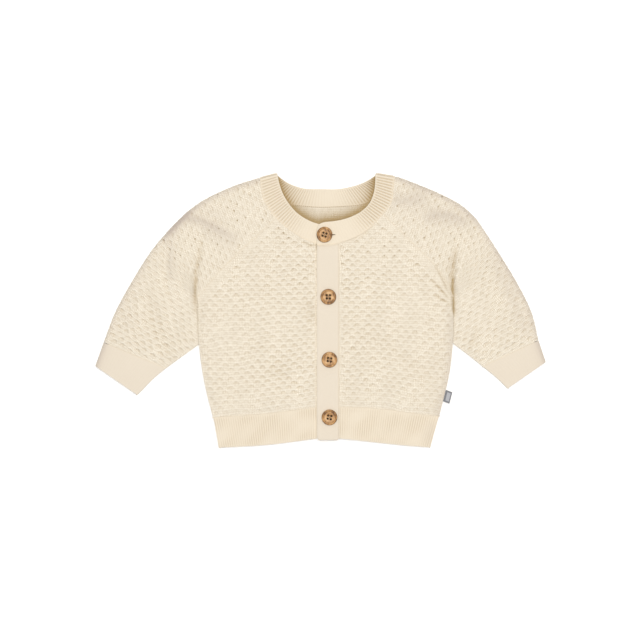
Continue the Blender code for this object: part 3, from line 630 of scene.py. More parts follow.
def evaluate(item, tree, **sizes):
    """Runs a geometry tree on a piece and keeps the result as a plain mesh."""
    change = item.modifiers.new("change", "NODES")
    change.node_group = tree
    sockets = {socket.name: socket.identifier for socket in tree.interface.items_tree
               if socket.in_out == "INPUT"}
    for name, value in sizes.items():
        change[sockets[name.replace("_", " ")]] = value
    keep_result(item)
    print(item.name, len(item.data.polygons), "faces")
    return item


print("pieces can be shaped")

# %% [markdown]
# ## Cotton knit
# The yarn is undyed combed cotton, spun and knitted by machine: matt, soft and cream. Where light
# bounces between its loops, in its pockets and grooves and deep in its folds, a warmer, darker cream is
# painted in as shade. A cotton fibre's index of refraction is about 1.53, and its surface is rough all
# over, so it has no gloss, only a faint sheen from stray fibres. The stitches are little Vs, 1.25 mm
# wide and a row every 1.1 mm. They are finer than a pixel of the photograph, so they are bump, and read
# as the cloth's fine grain, with shade painted between their legs. Where the cloth is stretched, each
# tuck opens into a tiny eyelet, which the material places with the same formula as the relief and
# paints dark, as the shade inside it.

# %% One stitch
FINE_STITCH = (1.25, 1.08)   # width and height of a stitch, mm
DRAWN_STITCH = (2.6, 2.17)   # in the honeycomb, drawn twice as coarse as it is, so that it shows
DRIFT = 3.33              # the columns of stitches swerve about once in so many millimetres


def scale_for(size):
    """The scale of a noise pattern whose forms are so many millimetres wide."""
    return 1 / (size * MM)


def stitches(tree, knit, place, size):
    """The Vs of a plain knit: their height, and the luck of each stitch."""
    uneven = add(tree, "ShaderNodeTexNoise", {"Vector": place, "Scale": scale_for(DRIFT), "Detail": 2.0})
    wale = add(tree, "MULTIPLY_ADD", uneven, 0.8, add(tree, "DIVIDE", knit.outputs["X"], size[0]))
    leg = add(tree, "ABSOLUTE", add(tree, "SUBTRACT", add(tree, "FRACT", wale), 0.5))
    slant = add(tree, "MULTIPLY_ADD", leg, -1.3, add(tree, "DIVIDE", knit.outputs["Y"], size[1]))
    yarn = add(tree, "ABSOLUTE", add(tree, "SINE", add(tree, "MULTIPLY", slant, math.pi)))
    round_leg = add(tree, "SINE", add(tree, "MULTIPLY", leg, 2 * math.pi))
    height = add(tree, "MULTIPLY", add(tree, "POWER", yarn, 0.6), add(tree, "ABSOLUTE", round_leg))
    loop = add(tree, "ShaderNodeCombineXYZ", add(tree, "FLOOR", wale), add(tree, "FLOOR", slant))
    return height, add(tree, "ShaderNodeTexWhiteNoise", {"Vector": loop}).outputs["Value"]


print("stitch: %.2f by %.2f mm, drawn %.2f by %.2f mm" % (*FINE_STITCH, *DRAWN_STITCH))

# %% The knit materials
COTTON_IOR = 1.53
CREAM = "F0E9D9"
# Colours of painted shade: a deeper cream for the shade between the loops and deep in the folds, also used
# for the yarn's random tone, and a cool grey where the cloth turns away from the light.
TONE_AND_SHADE_CREAM = "A58E66"     # the tone between loops and deep in the folds
PAINTED_COOL_SHADE = "BEB2A5"     # the tone where the cloth faces the cool room
FIBRE_TUFT = 0.4545       # stray fibres, drawn as coarse as they need to show
CLOUD = 29.4              # slow drift of the tone


# grain and groove set how much shade is painted between the stitch legs and in the pockets and grooves.
def knit_material(name, colour, stitch_depth, size=FINE_STITCH, grain=0.08, cell=None, faint_cells=0.0,
                  groove=0.25):
    """Machine-knitted cotton. A cell size adds eyelets, and faint_cells the look of its wrong side."""
    material, tree, shader = new_material(name)
    knit, lie = [add(tree, "ShaderNodeSeparateXYZ",
                     add(tree, "ShaderNodeAttribute", attribute_name=title).outputs["Vector"])
                 for title in ("knit", "lie")]
    hollow = add(tree, "ShaderNodeAttribute", attribute_name="hollow").outputs["Fac"]
    place = add(tree, "ShaderNodeTexCoord").outputs["Object"]
    stitch, luck = stitches(tree, knit, place, size)
    fibre = add(tree, "ShaderNodeTexNoise", {"Vector": place, "Scale": scale_for(FIBRE_TUFT), "Detail": 3.0})
    height = add(tree, "MULTIPLY_ADD", fibre, 0.35, stitch)
    eyelet = 0.0
    if cell:
        pocket, _, eyelet = scales(tree, knit, *cell, BOW)
        eyelet = add(tree, "MULTIPLY", eyelet, lie.outputs["Y"])
        height = add(tree, "MULTIPLY_ADD", eyelet, -2.0, height)
        if faint_cells:
            height = add(tree, "MULTIPLY_ADD", pocket, faint_cells, height)
    bump = add(tree, "ShaderNodeBump", {"Height": height, "Strength": 0.5, "Distance": stitch_depth * MM})
    cloudy = add(tree, "ShaderNodeTexNoise", {"Vector": place, "Scale": scale_for(CLOUD), "Detail": 2.0})
    # Painted shade: the colour is drawn towards the deeper cream in pockets and rib grooves (hollow),
    # between the stitch legs, in stretched eyelets and where lie.x is above zero, and towards the cool grey
    # where lie.x is below zero. Only the slow cloudy drift is the yarn's own uneven tone.
    tint = add(tree, "MULTIPLY_ADD", cloudy, 0.06, add(tree, "MULTIPLY_ADD", hollow, groove, 0.08))
    gap = add(tree, "MULTIPLY", add(tree, "SUBTRACT", 0.75, stitch),
              add(tree, "MULTIPLY_ADD", luck, 0.7, 0.55))
    tint = add(tree, "MULTIPLY_ADD", gap, grain, tint)
    tint = add(tree, "MULTIPLY_ADD", eyelet, 0.6, tint)
    tint = add(tree, "ADD", tint, add(tree, "MAXIMUM", lie.outputs["X"], 0.0))
    warm = add(tree, "ShaderNodeMix", {"Factor": tint, 6: linear(colour), 7: linear(TONE_AND_SHADE_CREAM)},
               data_type="RGBA")
    cool = add(tree, "ShaderNodeMix", {"Factor": add(tree, "MULTIPLY", lie.outputs["X"], -1.0),
                                       6: warm.outputs[2], 7: linear(PAINTED_COOL_SHADE)}, data_type="RGBA")
    connect(tree, shader, {"Base Color": cool.outputs[2], "Normal": bump, "Roughness": 0.92,
                           "IOR": COTTON_IOR, "Specular IOR Level": 0.25, "Sheen Weight": 0.1,
                           "Sheen Roughness": 0.5})
    return material


BODY_KNIT = knit_material("combed_cotton_honeycomb_knit", CREAM, 0.8, DRAWN_STITCH, 0.54, BODY_CELL)
SLEEVE_KNIT = knit_material("combed_cotton_honeycomb_knit_sleeve", CREAM, 0.8, DRAWN_STITCH, 0.54,
                            SLEEVE_CELL, groove=0.2)
BACK_KNIT = knit_material("combed_cotton_honeycomb_knit_back", CREAM, 0.7, DRAWN_STITCH, 0.35, BODY_CELL,
                          faint_cells=0.8)
RIB_KNIT = knit_material("combed_cotton_rib_knit", "E5DBC8", 0.16)
NECK_KNIT = knit_material("combed_cotton_rib_knit_neckband", "E5DBC8", 0.16, groove=0.4)
PLAIN_KNIT = knit_material("combed_cotton_plain_knit", "DFD6C6", 0.15)
print("six finishes of one yarn")

# %% [markdown]
# ## The fronts and the back
# Each front is one panel of honeycomb between the neckband, the raglan seam, the side seam, the hem
# and its front band. The cells are 10 mm wide and their rows 4.33 mm apart. The rows lie level over
# the chest and bend down with the hem towards the sides. A plain strip six millimetres wide runs
# beside each raglan seam, where the knitter narrowed the panel, and the puffs fade towards each seam.

# %% Where the pattern is strong and weak
ARMPIT_ROW = 3.0
PLAIN_STRIP = 6.0
WAVES = 14                # waves that are added up to one uneven drift
# Patches where the cloth is stretched or slack. Columns: x, y, radius, change in strength.
SLACK = [
    (-60, 60, 34, -0.3), (60, 62, 30, -0.35), (-90, 90, 26, -0.5), (96, 98, 26, -0.45),
    (-92, -24, 26, -0.3), (98, -70, 24, -0.25), (-66, -92, 24, -0.25), (54, -30, 26, 0.15),
    (-36, -62, 28, 0.3), (-150, 20, 26, -0.3), (-158, -26, 26, 0.2), (160, 4, 24, -0.2),
    (36, 26, 22, 0.15), (-30, 16, 20, 0.1), (92, 8, 20, -0.3), (134, 62, 20, -0.35),
    (-126, 62, 12, -0.5), (78, -26, 24, -0.22), (-104, 70, 20, -0.1),
]


def evenness(net):
    """How strongly the honeycomb stands out at each point of a net."""
    strength = np.ones(net.shape[:-1])
    for x, y, radius, change in SLACK:
        distance = np.hypot(net[..., 0] - x, net[..., 1] - y)
        strength += change * np.exp(-(distance / radius) ** 2)
    return strength


def wander(net, reach, seed, shortest=18):
    """A slow uneven drift of rows or wales, in millimetres."""
    rng = np.random.default_rng(seed)
    drift = np.zeros(net.shape[:-1])
    for _ in range(WAVES):
        direction, phase = rng.uniform(0, 2 * math.pi, 2)
        length = rng.uniform(shortest, 3 * shortest)
        wave = (net[..., 0] * math.cos(direction) + net[..., 1] * math.sin(direction)) / length
        drift += np.sin(2 * math.pi * wave + phase)
    return drift * reach / math.sqrt(WAVES / 2)


def eyelets(net):
    """How far the tucks are stretched open: most on the shoulders, little below the chest."""
    uneven = np.clip(0.7 + wander(net, 0.5, 9), 0, 1.2)
    return (0.15 + 0.85 * ease(net[..., 1] - 10, 60)) * uneven


print(len(SLACK), "slack or tight patches")

# %% Fronts
# How much cool shade is painted along each front's side seam.
SIDE_EDGE_SHADE = {"right": 0.08, "left": 0.46}   # its left side slopes down further, into the cool light
FRONT_ROWS = (152, 152)
FRONT_ACROSS = 152
# The front rises and dips beside its band's seam. Columns: distance from the seam, half-width, rise.
BESIDE_BAND = [(2.2, 0.6, 0.25), (1.0, 0.5, -0.2)]


def hem_bow(net):
    """How far the hem's upper edge lies below its middle, at each point's x."""
    hem = chain(curve("right_hem_top"), curve("left_hem_top"))
    return np.interp(net[..., 0], hem[:, 0], hem[:, 1]) - np.max(hem[:, 1])


def body_knit(net, strength):
    """Rows that are level at the chest and bend with the hem below it, and wales that run down."""
    share = ease(ARMPIT_ROW + 90 - net[..., 1], 230)
    across = net[..., 0] + wander(net, 0.7, 1) + wander(net, 0.2, 11, 7)
    along = net[..., 1] - 1.1 * hem_bow(net) * share + wander(net, 0.5, 2) + wander(net, 0.15, 12, 7)
    return channels(net, across, along, strength)


def front_net(side):
    """The net of a front panel, and its edges: the outer ones together, the neck, the hem, the band."""
    raglan, seam = curve(side + "_raglan"), curve(side + "_side")
    outer = chain(spaced(raglan, FRONT_ROWS[0]), spaced(seam, FRONT_ROWS[1]))
    outer += np.array([JOIN_STEP if side == "right" else -JOIN_STEP, 0.0])
    neck_seam, hem = curve(side + "_neck_seam"), curve(side + "_hem_top")
    centre = BAND_LEFT - JOIN if side == "right" else BAND_RIGHT + JOIN
    neck = stretch(neck_seam, LINES[side + "_raglan"][0], (centre, BAND_TOP))
    neck = moved(spaced(neck, FRONT_ACROSS), -JOIN if side == "right" else JOIN)
    neck[0] = outer[0] = (neck[0] + outer[0]) / 2
    neck[-1, 0] = centre
    bottom = spaced(hem if side == "right" else hem[::-1], FRONT_ACROSS) + np.array([0.0, JOIN])
    bottom[0] = outer[-1]
    bottom[-1, 0] = centre
    middle = np.array([centre, ARMPIT_ROW])
    inner = chain(spaced(np.array([neck[-1], middle]), FRONT_ROWS[0]),
                  spaced(np.array([middle, bottom[-1]]), FRONT_ROWS[1]))
    return patch(outer, inner, neck, bottom), outer, neck, bottom, centre


def front(side):
    """A front panel, from the neckband to the hem and from the raglan and side seams to its band."""
    net, outer, neck, bottom, centre = front_net(side)
    corner = FRONT_ROWS[0]
    from_raglan, from_side = away(net, outer[:corner + 1]), away(net, outer[corner:])
    from_neck, from_hem = away(net, neck), away(net, bottom)
    from_band = abs(net[..., 0] - centre)
    top, depth = creased(net, BODY_TOP)
    top = sewn_down(top, (from_raglan, RAGLAN_TOP, REACH["raglan"]), (from_side, LOWEST_TOP, REACH["side"]),
                    (from_neck, RIB_TOP, REACH["neck"]), (from_hem, RIB_TOP, REACH["hem"]),
                    (from_band, BAND_SIDE_TOP[side], REACH["band"]))
    for distance, half_width, rise in BESIDE_BAND:
        top += rise * np.exp(-((from_band - distance) / half_width) ** 2)
    # Painted cool shade along the side seam, where the cloth slopes down away from the light.
    depth = depth - SIDE_EDGE_SHADE[side] * np.exp(-from_side / 4)
    strength = (evenness(net) * ease(from_raglan - PLAIN_STRIP + 2, 4) * ease(from_side, 3)
                * ease(from_neck, 3.5) * ease(from_hem, 4) * ease(from_band - 1, 2.5))
    strength *= 0.6 + 0.4 * ease(from_hem, 30)
    item = shell("front_" + side + "_knit", raised(net, top), raised(net, top - KNIT),
                 body_knit(net, strength), channels(net, depth, eyelets(net)))
    return evaluate(item, HONEYCOMB, Material=BODY_KNIT)


fronts = {side: front(side) for side in ("right", "left")}

# %% [markdown]
# The back lies underneath, its right side flat on the table. Only a strip of its inside shows, in the
# neck. Its honeycomb is on the underside, pressed flat: there the relief only goes inwards, so that the
# puffs' tops stay on the table. Under the front neck edge the inside lies deep in the collar's shade,
# where the light that gets there has bounced off cream cloth: that shade is painted into its colour,
# deepest at the neck edge.

# %% Back
BACK_ROWS = (96, 96)
BACK_ACROSS = 208
BACK_LIFT = 0.45          # how far the back's cells may rise, so the cloth's level stays over the table
front_neck_edge = chain(curve("right_neck_edge"), curve("left_neck_edge")[::-1])


def collar_shade(net, reach, most):
    """The painted shade behind the front neck edge, deepest at the edge and fading away from it."""
    return most * np.exp(-away(net, front_neck_edge) / reach)


def back():
    """The back panel, right side down."""
    edges = []
    for side, inward in (("right", JOIN_STEP), ("left", -JOIN_STEP)):
        raglan, seam = curve(side + "_back_raglan"), curve(side + "_side")
        edge = chain(spaced(raglan, BACK_ROWS[0]), spaced(seam, BACK_ROWS[1]))
        edges.append(edge + np.array([inward, 0.0]))
    part = stretch(curve("back_neck_seam"), LINES["right_back_raglan"][0], LINES["left_back_raglan"][0])
    neck = moved(spaced(part, BACK_ACROSS), -JOIN)
    neck[0], neck[-1] = edges[0][0], edges[1][0]
    hem_top = chain(curve("right_hem_top"), curve("left_hem_top"))
    bottom = spaced(hem_top, BACK_ACROSS) + np.array([0.0, JOIN])
    bottom[0], bottom[-1] = edges[0][-1], edges[1][-1]
    net = patch(edges[0], edges[1], neck, bottom)
    rim = np.minimum.reduce([away(net, line) for line in (edges[0], edges[1], neck, bottom)])
    # Its inside gets the collar's painted shade.
    item = shell("back_knit", raised(net, BACK_LIFT), raised(net, BACK_TOP), body_knit(net, ease(rim, 5)),
                 channels(net, collar_shade(net, 7.5, 1.05)))
    return evaluate(item, HONEYCOMB, Material=BACK_KNIT)


back_panel = back()

# %% [markdown]
# ## The sleeves
# A raglan sleeve runs from the neckband to the cuff, folded along the shoulder and the outer arm, with
# its other layer underneath. Its net is the front layer, a round turn and the back layer in one, so the
# fold has no seam, as on the real one. Its rows run across the arm. The laid arm bends at the armpit, so
# the rows are spread round that point like a fan before they run on down the arm.

# %% Sleeves
SLEEVE_ROWS = (168, 84, 84)
SLEEVE_ACROSS = 108
SLEEVE_BACK_ACROSS = 76
TURN_STEPS = 12
CAP_ANGLE = math.radians(72.8)   # across the sleeve, at the shoulder, from the X axis
ARM_BEND = math.radians(39)      # how far the arm turns down from there
BEND_RADIUS = 60                 # distance from the armpit at which the rows keep their height
# The painted cool shade on the folded edge fades in over EDGE_SINK millimetres.
EDGE_SINK = 1.0                  # how far the cool light on the folded edge reaches in
SLEEVE_RISE = 0.52


def arm_lines(net, side):
    """How far points lie along and across a sleeve that bends round its armpit."""
    out = (net - LINES[side + "_underarm"][0]) * (1 if side == "left" else -1, 1)
    turn = np.clip(CAP_ANGLE - np.arctan2(out[..., 1], out[..., 0]), 0, ARM_BEND)
    facing = CAP_ANGLE - turn
    along = BEND_RADIUS * turn + out[..., 0] * np.sin(facing) - out[..., 1] * np.cos(facing)
    return along, out[..., 0] * np.cos(facing) + out[..., 1] * np.sin(facing)


def turn_start(fold, toward, radius):
    """Where a folded panel starts to turn: square to the fold at the neck, along the seam at the end."""
    square = moved(fold, 1.0) - fold
    square *= np.sign((square * (toward - fold)).sum(axis=1))[:, None]
    along = (toward - fold) / np.linalg.norm(toward - fold, axis=1)[:, None]
    share = np.linspace(0, 1, len(fold))[:, None]
    inward = (1 - share) * square + share * along
    return fold + radius * inward / np.linalg.norm(inward, axis=1)[:, None]


def folded(name, fold, front_part, back_part, top, steps, thickness=KNIT, bottom=0.0):
    """A panel folded along its outer edge. Each part is a net with its knit and lie attributes."""
    front_net, front_knit, front_lie = front_part
    back_net, back_knit, back_lie = back_part
    radius = (top[:, :1] - bottom) / 2
    outward = (fold - front_net[:, 0]) / radius
    layers = {"right side": [raised(front_net, top)[:, ::-1]],
              "wrong side": [raised(front_net, top - thickness)[:, ::-1]],
              "knit": [front_knit[:, ::-1]], "lie": [front_lie[:, ::-1]]}
    for k in range(1, steps):
        share = k / steps
        angle = math.pi * share
        for side, reach in (("right side", radius), ("wrong side", radius - thickness)):
            place = front_net[:, 0] + outward * reach * math.sin(angle)
            height = bottom + radius + reach * math.cos(angle)
            layers[side].append(np.concatenate([place, height], axis=1)[:, None])
        layers["knit"].append(front_knit[:, :1] * (1 - share) + back_knit[:, :1] * share)
        # The front's painted shade runs on into the turn, strongest partway round and gone halfway round.
        layers["lie"].append(front_lie[:, :1] * max(math.cos(angle), 0) * (1 + 2 * math.sin(angle)))
    layers["right side"].append(raised(back_net, bottom))
    layers["wrong side"].append(raised(back_net, bottom + thickness))
    layers["knit"].append(back_knit)
    layers["lie"].append(back_lie)
    return shell(name, *[np.concatenate(part, axis=1) for part in layers.values()])


def sleeve_nets(side):
    """The nets of a sleeve's two layers, and the lines that they are folded and sewn along."""
    raglan, back_raglan = curve(side + "_raglan"), curve(side + "_back_raglan")
    underarm, forearm = curve(side + "_underarm"), curve(side + "_forearm")
    arm = chain(spaced(underarm, SLEEVE_ROWS[1]), spaced(forearm, SLEEVE_ROWS[2]))
    front_edge = chain(spaced(raglan, SLEEVE_ROWS[0]), arm)
    back_edge = chain(spaced(back_raglan, SLEEVE_ROWS[0]), arm)
    fold = spaced(curve(side + "_shoulder"), sum(SLEEVE_ROWS))
    start = turn_start(fold, front_edge, FOLD_REACH)
    outward = -JOIN if side == "right" else JOIN
    neck = stretch(curve(side + "_neck_seam"), start[0], raglan[0])
    back_part = stretch(curve("back_neck_seam"), start[0], back_raglan[0])
    neck[0] = back_part[0] = start[0]
    front_neck = moved(spaced(neck, SLEEVE_ACROSS), outward)
    back_neck = moved(spaced(back_part, SLEEVE_BACK_ACROSS), outward)
    front_neck[0] = back_neck[0] = start[0]
    front_edge[0] = front_neck[-1]
    back_edge[0] = back_neck[-1]
    cuff = np.array([start[-1], front_edge[-1]])
    front_net = patch(start, front_edge, front_neck, spaced(cuff, SLEEVE_ACROSS))
    back_net = patch(start, back_edge, back_neck, spaced(cuff, SLEEVE_BACK_ACROSS))
    lines = {"fold": fold, "start": start, "raglan": raglan, "arm": arm, "neck": neck, "cuff": cuff,
             "back edge": back_edge, "back neck": back_neck}
    return front_net, back_net, lines


def sleeve(side):
    """A raglan sleeve of honeycomb, laid flat and folded at the outer arm."""
    front_net, back_net, lines = sleeve_nets(side)
    from_raglan, from_arm, from_neck, from_cuff, from_fold = [
        away(front_net, lines[name]) for name in ("raglan", "arm", "neck", "cuff", "start")]
    top, depth = creased(front_net, SLEEVE_TOP)
    top = sewn_down(top, (from_raglan, RAGLAN_TOP, REACH["raglan"]), (from_arm, LOWEST_TOP, REACH["side"]),
                    (from_neck, RIB_TOP, REACH["neck"]), (from_cuff, RIB_TOP, REACH["cuff"]),
                    (from_fold, RIB_TOP, REACH["fold"]))
    # Painted cool shade along the folded outer edge, where the cloth turns away from the light.
    fold_edge_shade = 0.16 + 0.13 * ease(front_net[..., 1] - 50, 40)   # most at the shoulder
    depth = depth - fold_edge_shade * np.exp(-from_fold / EDGE_SINK)
    rim = ease(from_raglan, 3) * ease(from_arm, 3) * ease(from_neck, 3.5) * ease(from_cuff, 4)
    rim *= 0.3 + 0.7 * ease(away(front_net, lines["arm"][:1]), 26)
    along, across = arm_lines(front_net, side)
    along = along + wander(front_net, 0.5, 3) + wander(front_net, 0.12, 13, 7)
    across = across + wander(front_net, 0.7, 4) + wander(front_net, 0.2, 14, 7)
    front_knit = channels(front_net, across, -along, rim * evenness(front_net))
    back_rim = np.minimum.reduce([away(back_net, lines[name])
                                  for name in ("back edge", "back neck", "cuff")])
    back_along, inward = arm_lines(back_net, side)
    back_across = 2 * arm_lines(lines["start"], side)[1][:, None] + 2 * FOLD_REACH - inward
    back_knit = channels(back_net, back_across, -back_along, 0.4 * ease(back_rim, 5))
    item = folded("sleeve_" + side + "_knit", lines["fold"],
                  (front_net, front_knit, channels(front_net, depth, eyelets(front_net))),
                  (back_net, back_knit, channels(back_net, 0.0)), top, TURN_STEPS)
    return evaluate(item, HONEYCOMB, Cell_width=SLEEVE_CELL[0], Row_height=SLEEVE_CELL[1],
                    Rise=SLEEVE_RISE * MM, Material=SLEEVE_KNIT)


sleeves = {side: sleeve(side) for side in ("right", "left")}

# %% [markdown]
# ## Ribbed hems, cuffs and neckband
# Rib is knitted from the same yarn on finer needles: columns of stitches stand up and the columns
# between them sink. The same kind of geometry tree raises them, eight points to a rib.

# %% Hems
HEM_RIB, CUFF_RIB, NECK_RIB = 2.2, 2.3, 2.6
PER_RIB = 8               # columns of points to a rib
HEM_ROWS = 24
HEM_BACK_LIFT = 0.15      # keeps the ribs of the back's hem off the table


def rib_knit(net, spacing, strength):
    """Ribs that run down a net, one every PER_RIB columns."""
    rows, columns = net.shape[:2]
    across = np.broadcast_to(np.arange(columns) * spacing / PER_RIB, (rows, columns))
    length = np.linalg.norm(np.diff(net, axis=0), axis=-1).cumsum(axis=0)
    along = np.vstack([np.zeros((1, columns)), length])
    return channels(net, across, along, strength)


def hem_front(side):
    """The ribbed hem of one front."""
    hem_top, hem_bottom = curve(side + "_hem_top"), curve(side + "_hem_bottom")
    if side == "left":
        hem_top, hem_bottom = hem_top[::-1], hem_bottom[::-1]
    ribs = round(np.linalg.norm(hem_top[0] - hem_top[-1]) / HEM_RIB)
    outer = spaced(curve(side + "_hem_side"), HEM_ROWS)
    upper = spaced(hem_top, PER_RIB * ribs) - np.array([0.0, JOIN])
    upper[0] = outer[0]
    lower = spaced(hem_bottom, PER_RIB * ribs)
    net = patch(outer, spaced(np.array([upper[-1], lower[-1]]), HEM_ROWS), upper, lower)
    top, depth = creased(net, RIB_TOP)
    top = sewn_down(top, (away(net, outer), LOWEST_TOP, REACH["side"]),
                    (abs(net[..., 0] - upper[-1, 0]), BAND_SIDE_TOP[side], REACH["band"]))
    strength = ease(away(net, upper), 2) * (0.55 + 0.45 * ease(away(net, lower), 2))
    strength *= np.clip(0.85 + wander(net, 0.35, 5), 0.3, 1.3)
    top = top - 0.15 * (1 - ease(away(net, lower), 1.2))
    # The colour takes the painted shade of SHADES here too.
    item = shell("hem_front_" + side + "_knit", raised(net, top), raised(net, top - KNIT),
                 rib_knit(net, HEM_RIB, strength), channels(net, depth))
    return evaluate(item, RIBS, Rib_spacing=HEM_RIB, Rise=0.34 * MM, Material=RIB_KNIT)


def hem_back():
    """The ribbed hem of the back, right side down."""
    hem_top = chain(curve("right_hem_top"), curve("left_hem_top"))
    hem_bottom = chain(curve("right_hem_bottom"), curve("left_hem_bottom"))
    ribs = round(np.linalg.norm(hem_top[0] - hem_top[-1]) / HEM_RIB)
    upper = spaced(hem_top, PER_RIB * ribs) - np.array([0.0, JOIN])
    lower = spaced(hem_bottom, PER_RIB * ribs) + np.array([0.0, 0.6])
    sides = [spaced(curve(side + "_hem_side"), HEM_ROWS) for side in ("right", "left")]
    upper[0], upper[-1] = sides[0][0], sides[1][0]
    lower[0], lower[-1] = sides[0][-1], sides[1][-1]
    net = patch(sides[0], sides[1], upper, lower)
    strength = ease(away(net, upper), 2) * ease(away(net, lower), 1)
    item = shell("hem_back_knit", raised(net, HEM_BACK_LIFT), raised(net, BACK_TOP),
                 rib_knit(net, HEM_RIB, strength), channels(net, 0.0))
    return evaluate(item, RIBS, Rib_spacing=HEM_RIB, Rise=0.3 * MM, Material=RIB_KNIT)


hems = {side: hem_front(side) for side in ("right", "left")}
hems["back"] = hem_back()

# %% [markdown]
# A cuff is a short tube of rib, pressed flat with its sleeve and folded on the same line. Its ribs
# run to the hand and are stretched almost smooth, so only a trace of them is left.

# %% Cuffs
CUFF_TURN_STEPS = 4 * PER_RIB


def cuff(side):
    """A ribbed cuff, folded with its sleeve, its ribs running to the hand."""
    fold = spaced(curve(side + "_cuff_fold"), HEM_ROWS)
    edge = spaced(curve(side + "_cuff_seam"), HEM_ROWS)
    run = edge[-1] - edge[0]
    edge += run * JOIN / np.linalg.norm(run) * np.linspace(1, 0, HEM_ROWS + 1)[:, None]
    along = edge - fold
    start = fold + FOLD_REACH * along / np.linalg.norm(along, axis=1)[:, None]
    ribs = round(np.linalg.norm(edge[-1] - start[-1]) / CUFF_RIB)
    upper, lower = np.array([start[0], edge[0]]), np.array([start[-1], edge[-1]])
    net = patch(start, edge, spaced(upper, PER_RIB * ribs), spaced(lower, PER_RIB * ribs))
    top = settle(np.full(net.shape[:-1], RIB_TOP), away(net, edge), LOWEST_TOP, REACH["side"])
    strength = 0.12 * ease(away(net, upper), 2) * (0.55 + 0.45 * ease(away(net, lower), 2))
    front_knit = rib_knit(net, CUFF_RIB, strength)
    back_knit = front_knit * (-1, 1, 1) - np.array([CUFF_TURN_STEPS / PER_RIB * CUFF_RIB, 0, 0])
    # Painted cool shade beside the fold, where the cuff turns away from the light.
    cool = channels(net, -0.3 * np.exp(-away(net, start) / 3))
    item = folded("cuff_" + side + "_knit", fold, (net, front_knit, cool),
                  (net, back_knit, cool * 0), top, CUFF_TURN_STEPS)
    return evaluate(item, RIBS, Rib_spacing=CUFF_RIB, Rise=0.2 * MM, Material=PLAIN_KNIT)


cuffs = {side: cuff(side) for side in ("right", "left")}

# %% [markdown]
# The neckband is one strip of rib, joined on all round the neck, folded at both shoulders, with its
# two ends lapped at the front. A row of stations runs along it, each with a point on the neck edge and
# one on the seam. Its edges are rounded, since the strip is knitted double. Its ribs fade towards the
# front, where the lapped ends lie plain under the top button. At the back of the neck the inner face
# shows, so both faces are ribbed and equally fine.

# %% Neckband
NECK_ACROSS = 16
NECK_TURN = 16
RIGHT_END_FROM, LEFT_END_FROM, NECK_REACH = -12.0, 21.0, 28.0
RIB_LIFT = 0.4            # keeps the ribs of the underside off the table
EDGE_ROUNDING = 0.25
NECK_MIDDLE = 8           # x of the middle of the neck


def neck_part(part):
    """The stations on one part of the neckband: neck edge, seam edge and height of each."""
    edge, seam = curve(part + "_neck_edge"), curve(part + "_neck_seam")
    lengths = [np.linalg.norm(np.diff(side, axis=0), axis=1).sum() for side in (edge, seam)]
    count = PER_RIB * round(sum(lengths) / 2 / NECK_RIB)
    edge, seam = spaced(edge, count), spaced(seam, count)
    middles = (edge[:, 0] + seam[:, 0]) / 2
    level = np.full(count + 1, RIB_TOP)
    if part == "right":
        level = settle(level, np.maximum(RIGHT_END_FROM - middles, 0), LOWEST_TOP, NECK_REACH)
    if part == "left":
        level = settle(level, np.maximum(middles - LEFT_END_FROM, 0), LAP_TOP, NECK_REACH)
    return edge, seam, level


def neck_stations():
    """Neck edge, seam edge, height and turn of each station, from the right end round to the left."""
    right = [values[::-1] for values in neck_part("right")]
    behind, left = neck_part("back"), neck_part("left")
    turn = [math.pi * k / NECK_TURN for k in range(1, NECK_TURN)]
    stations = [(edge, seam, level, 0.0) for edge, seam, level in zip(*right)]
    stations += [(behind[0][0], behind[1][0], RIB_TOP, angle) for angle in turn]
    stations += [(edge, seam, level, math.pi) for edge, seam, level in zip(*behind)]
    stations += [(behind[0][-1], behind[1][-1], RIB_TOP, angle) for angle in turn[::-1]]
    return stations + [(edge, seam, level, 0.0) for edge, seam, level in zip(*left)]


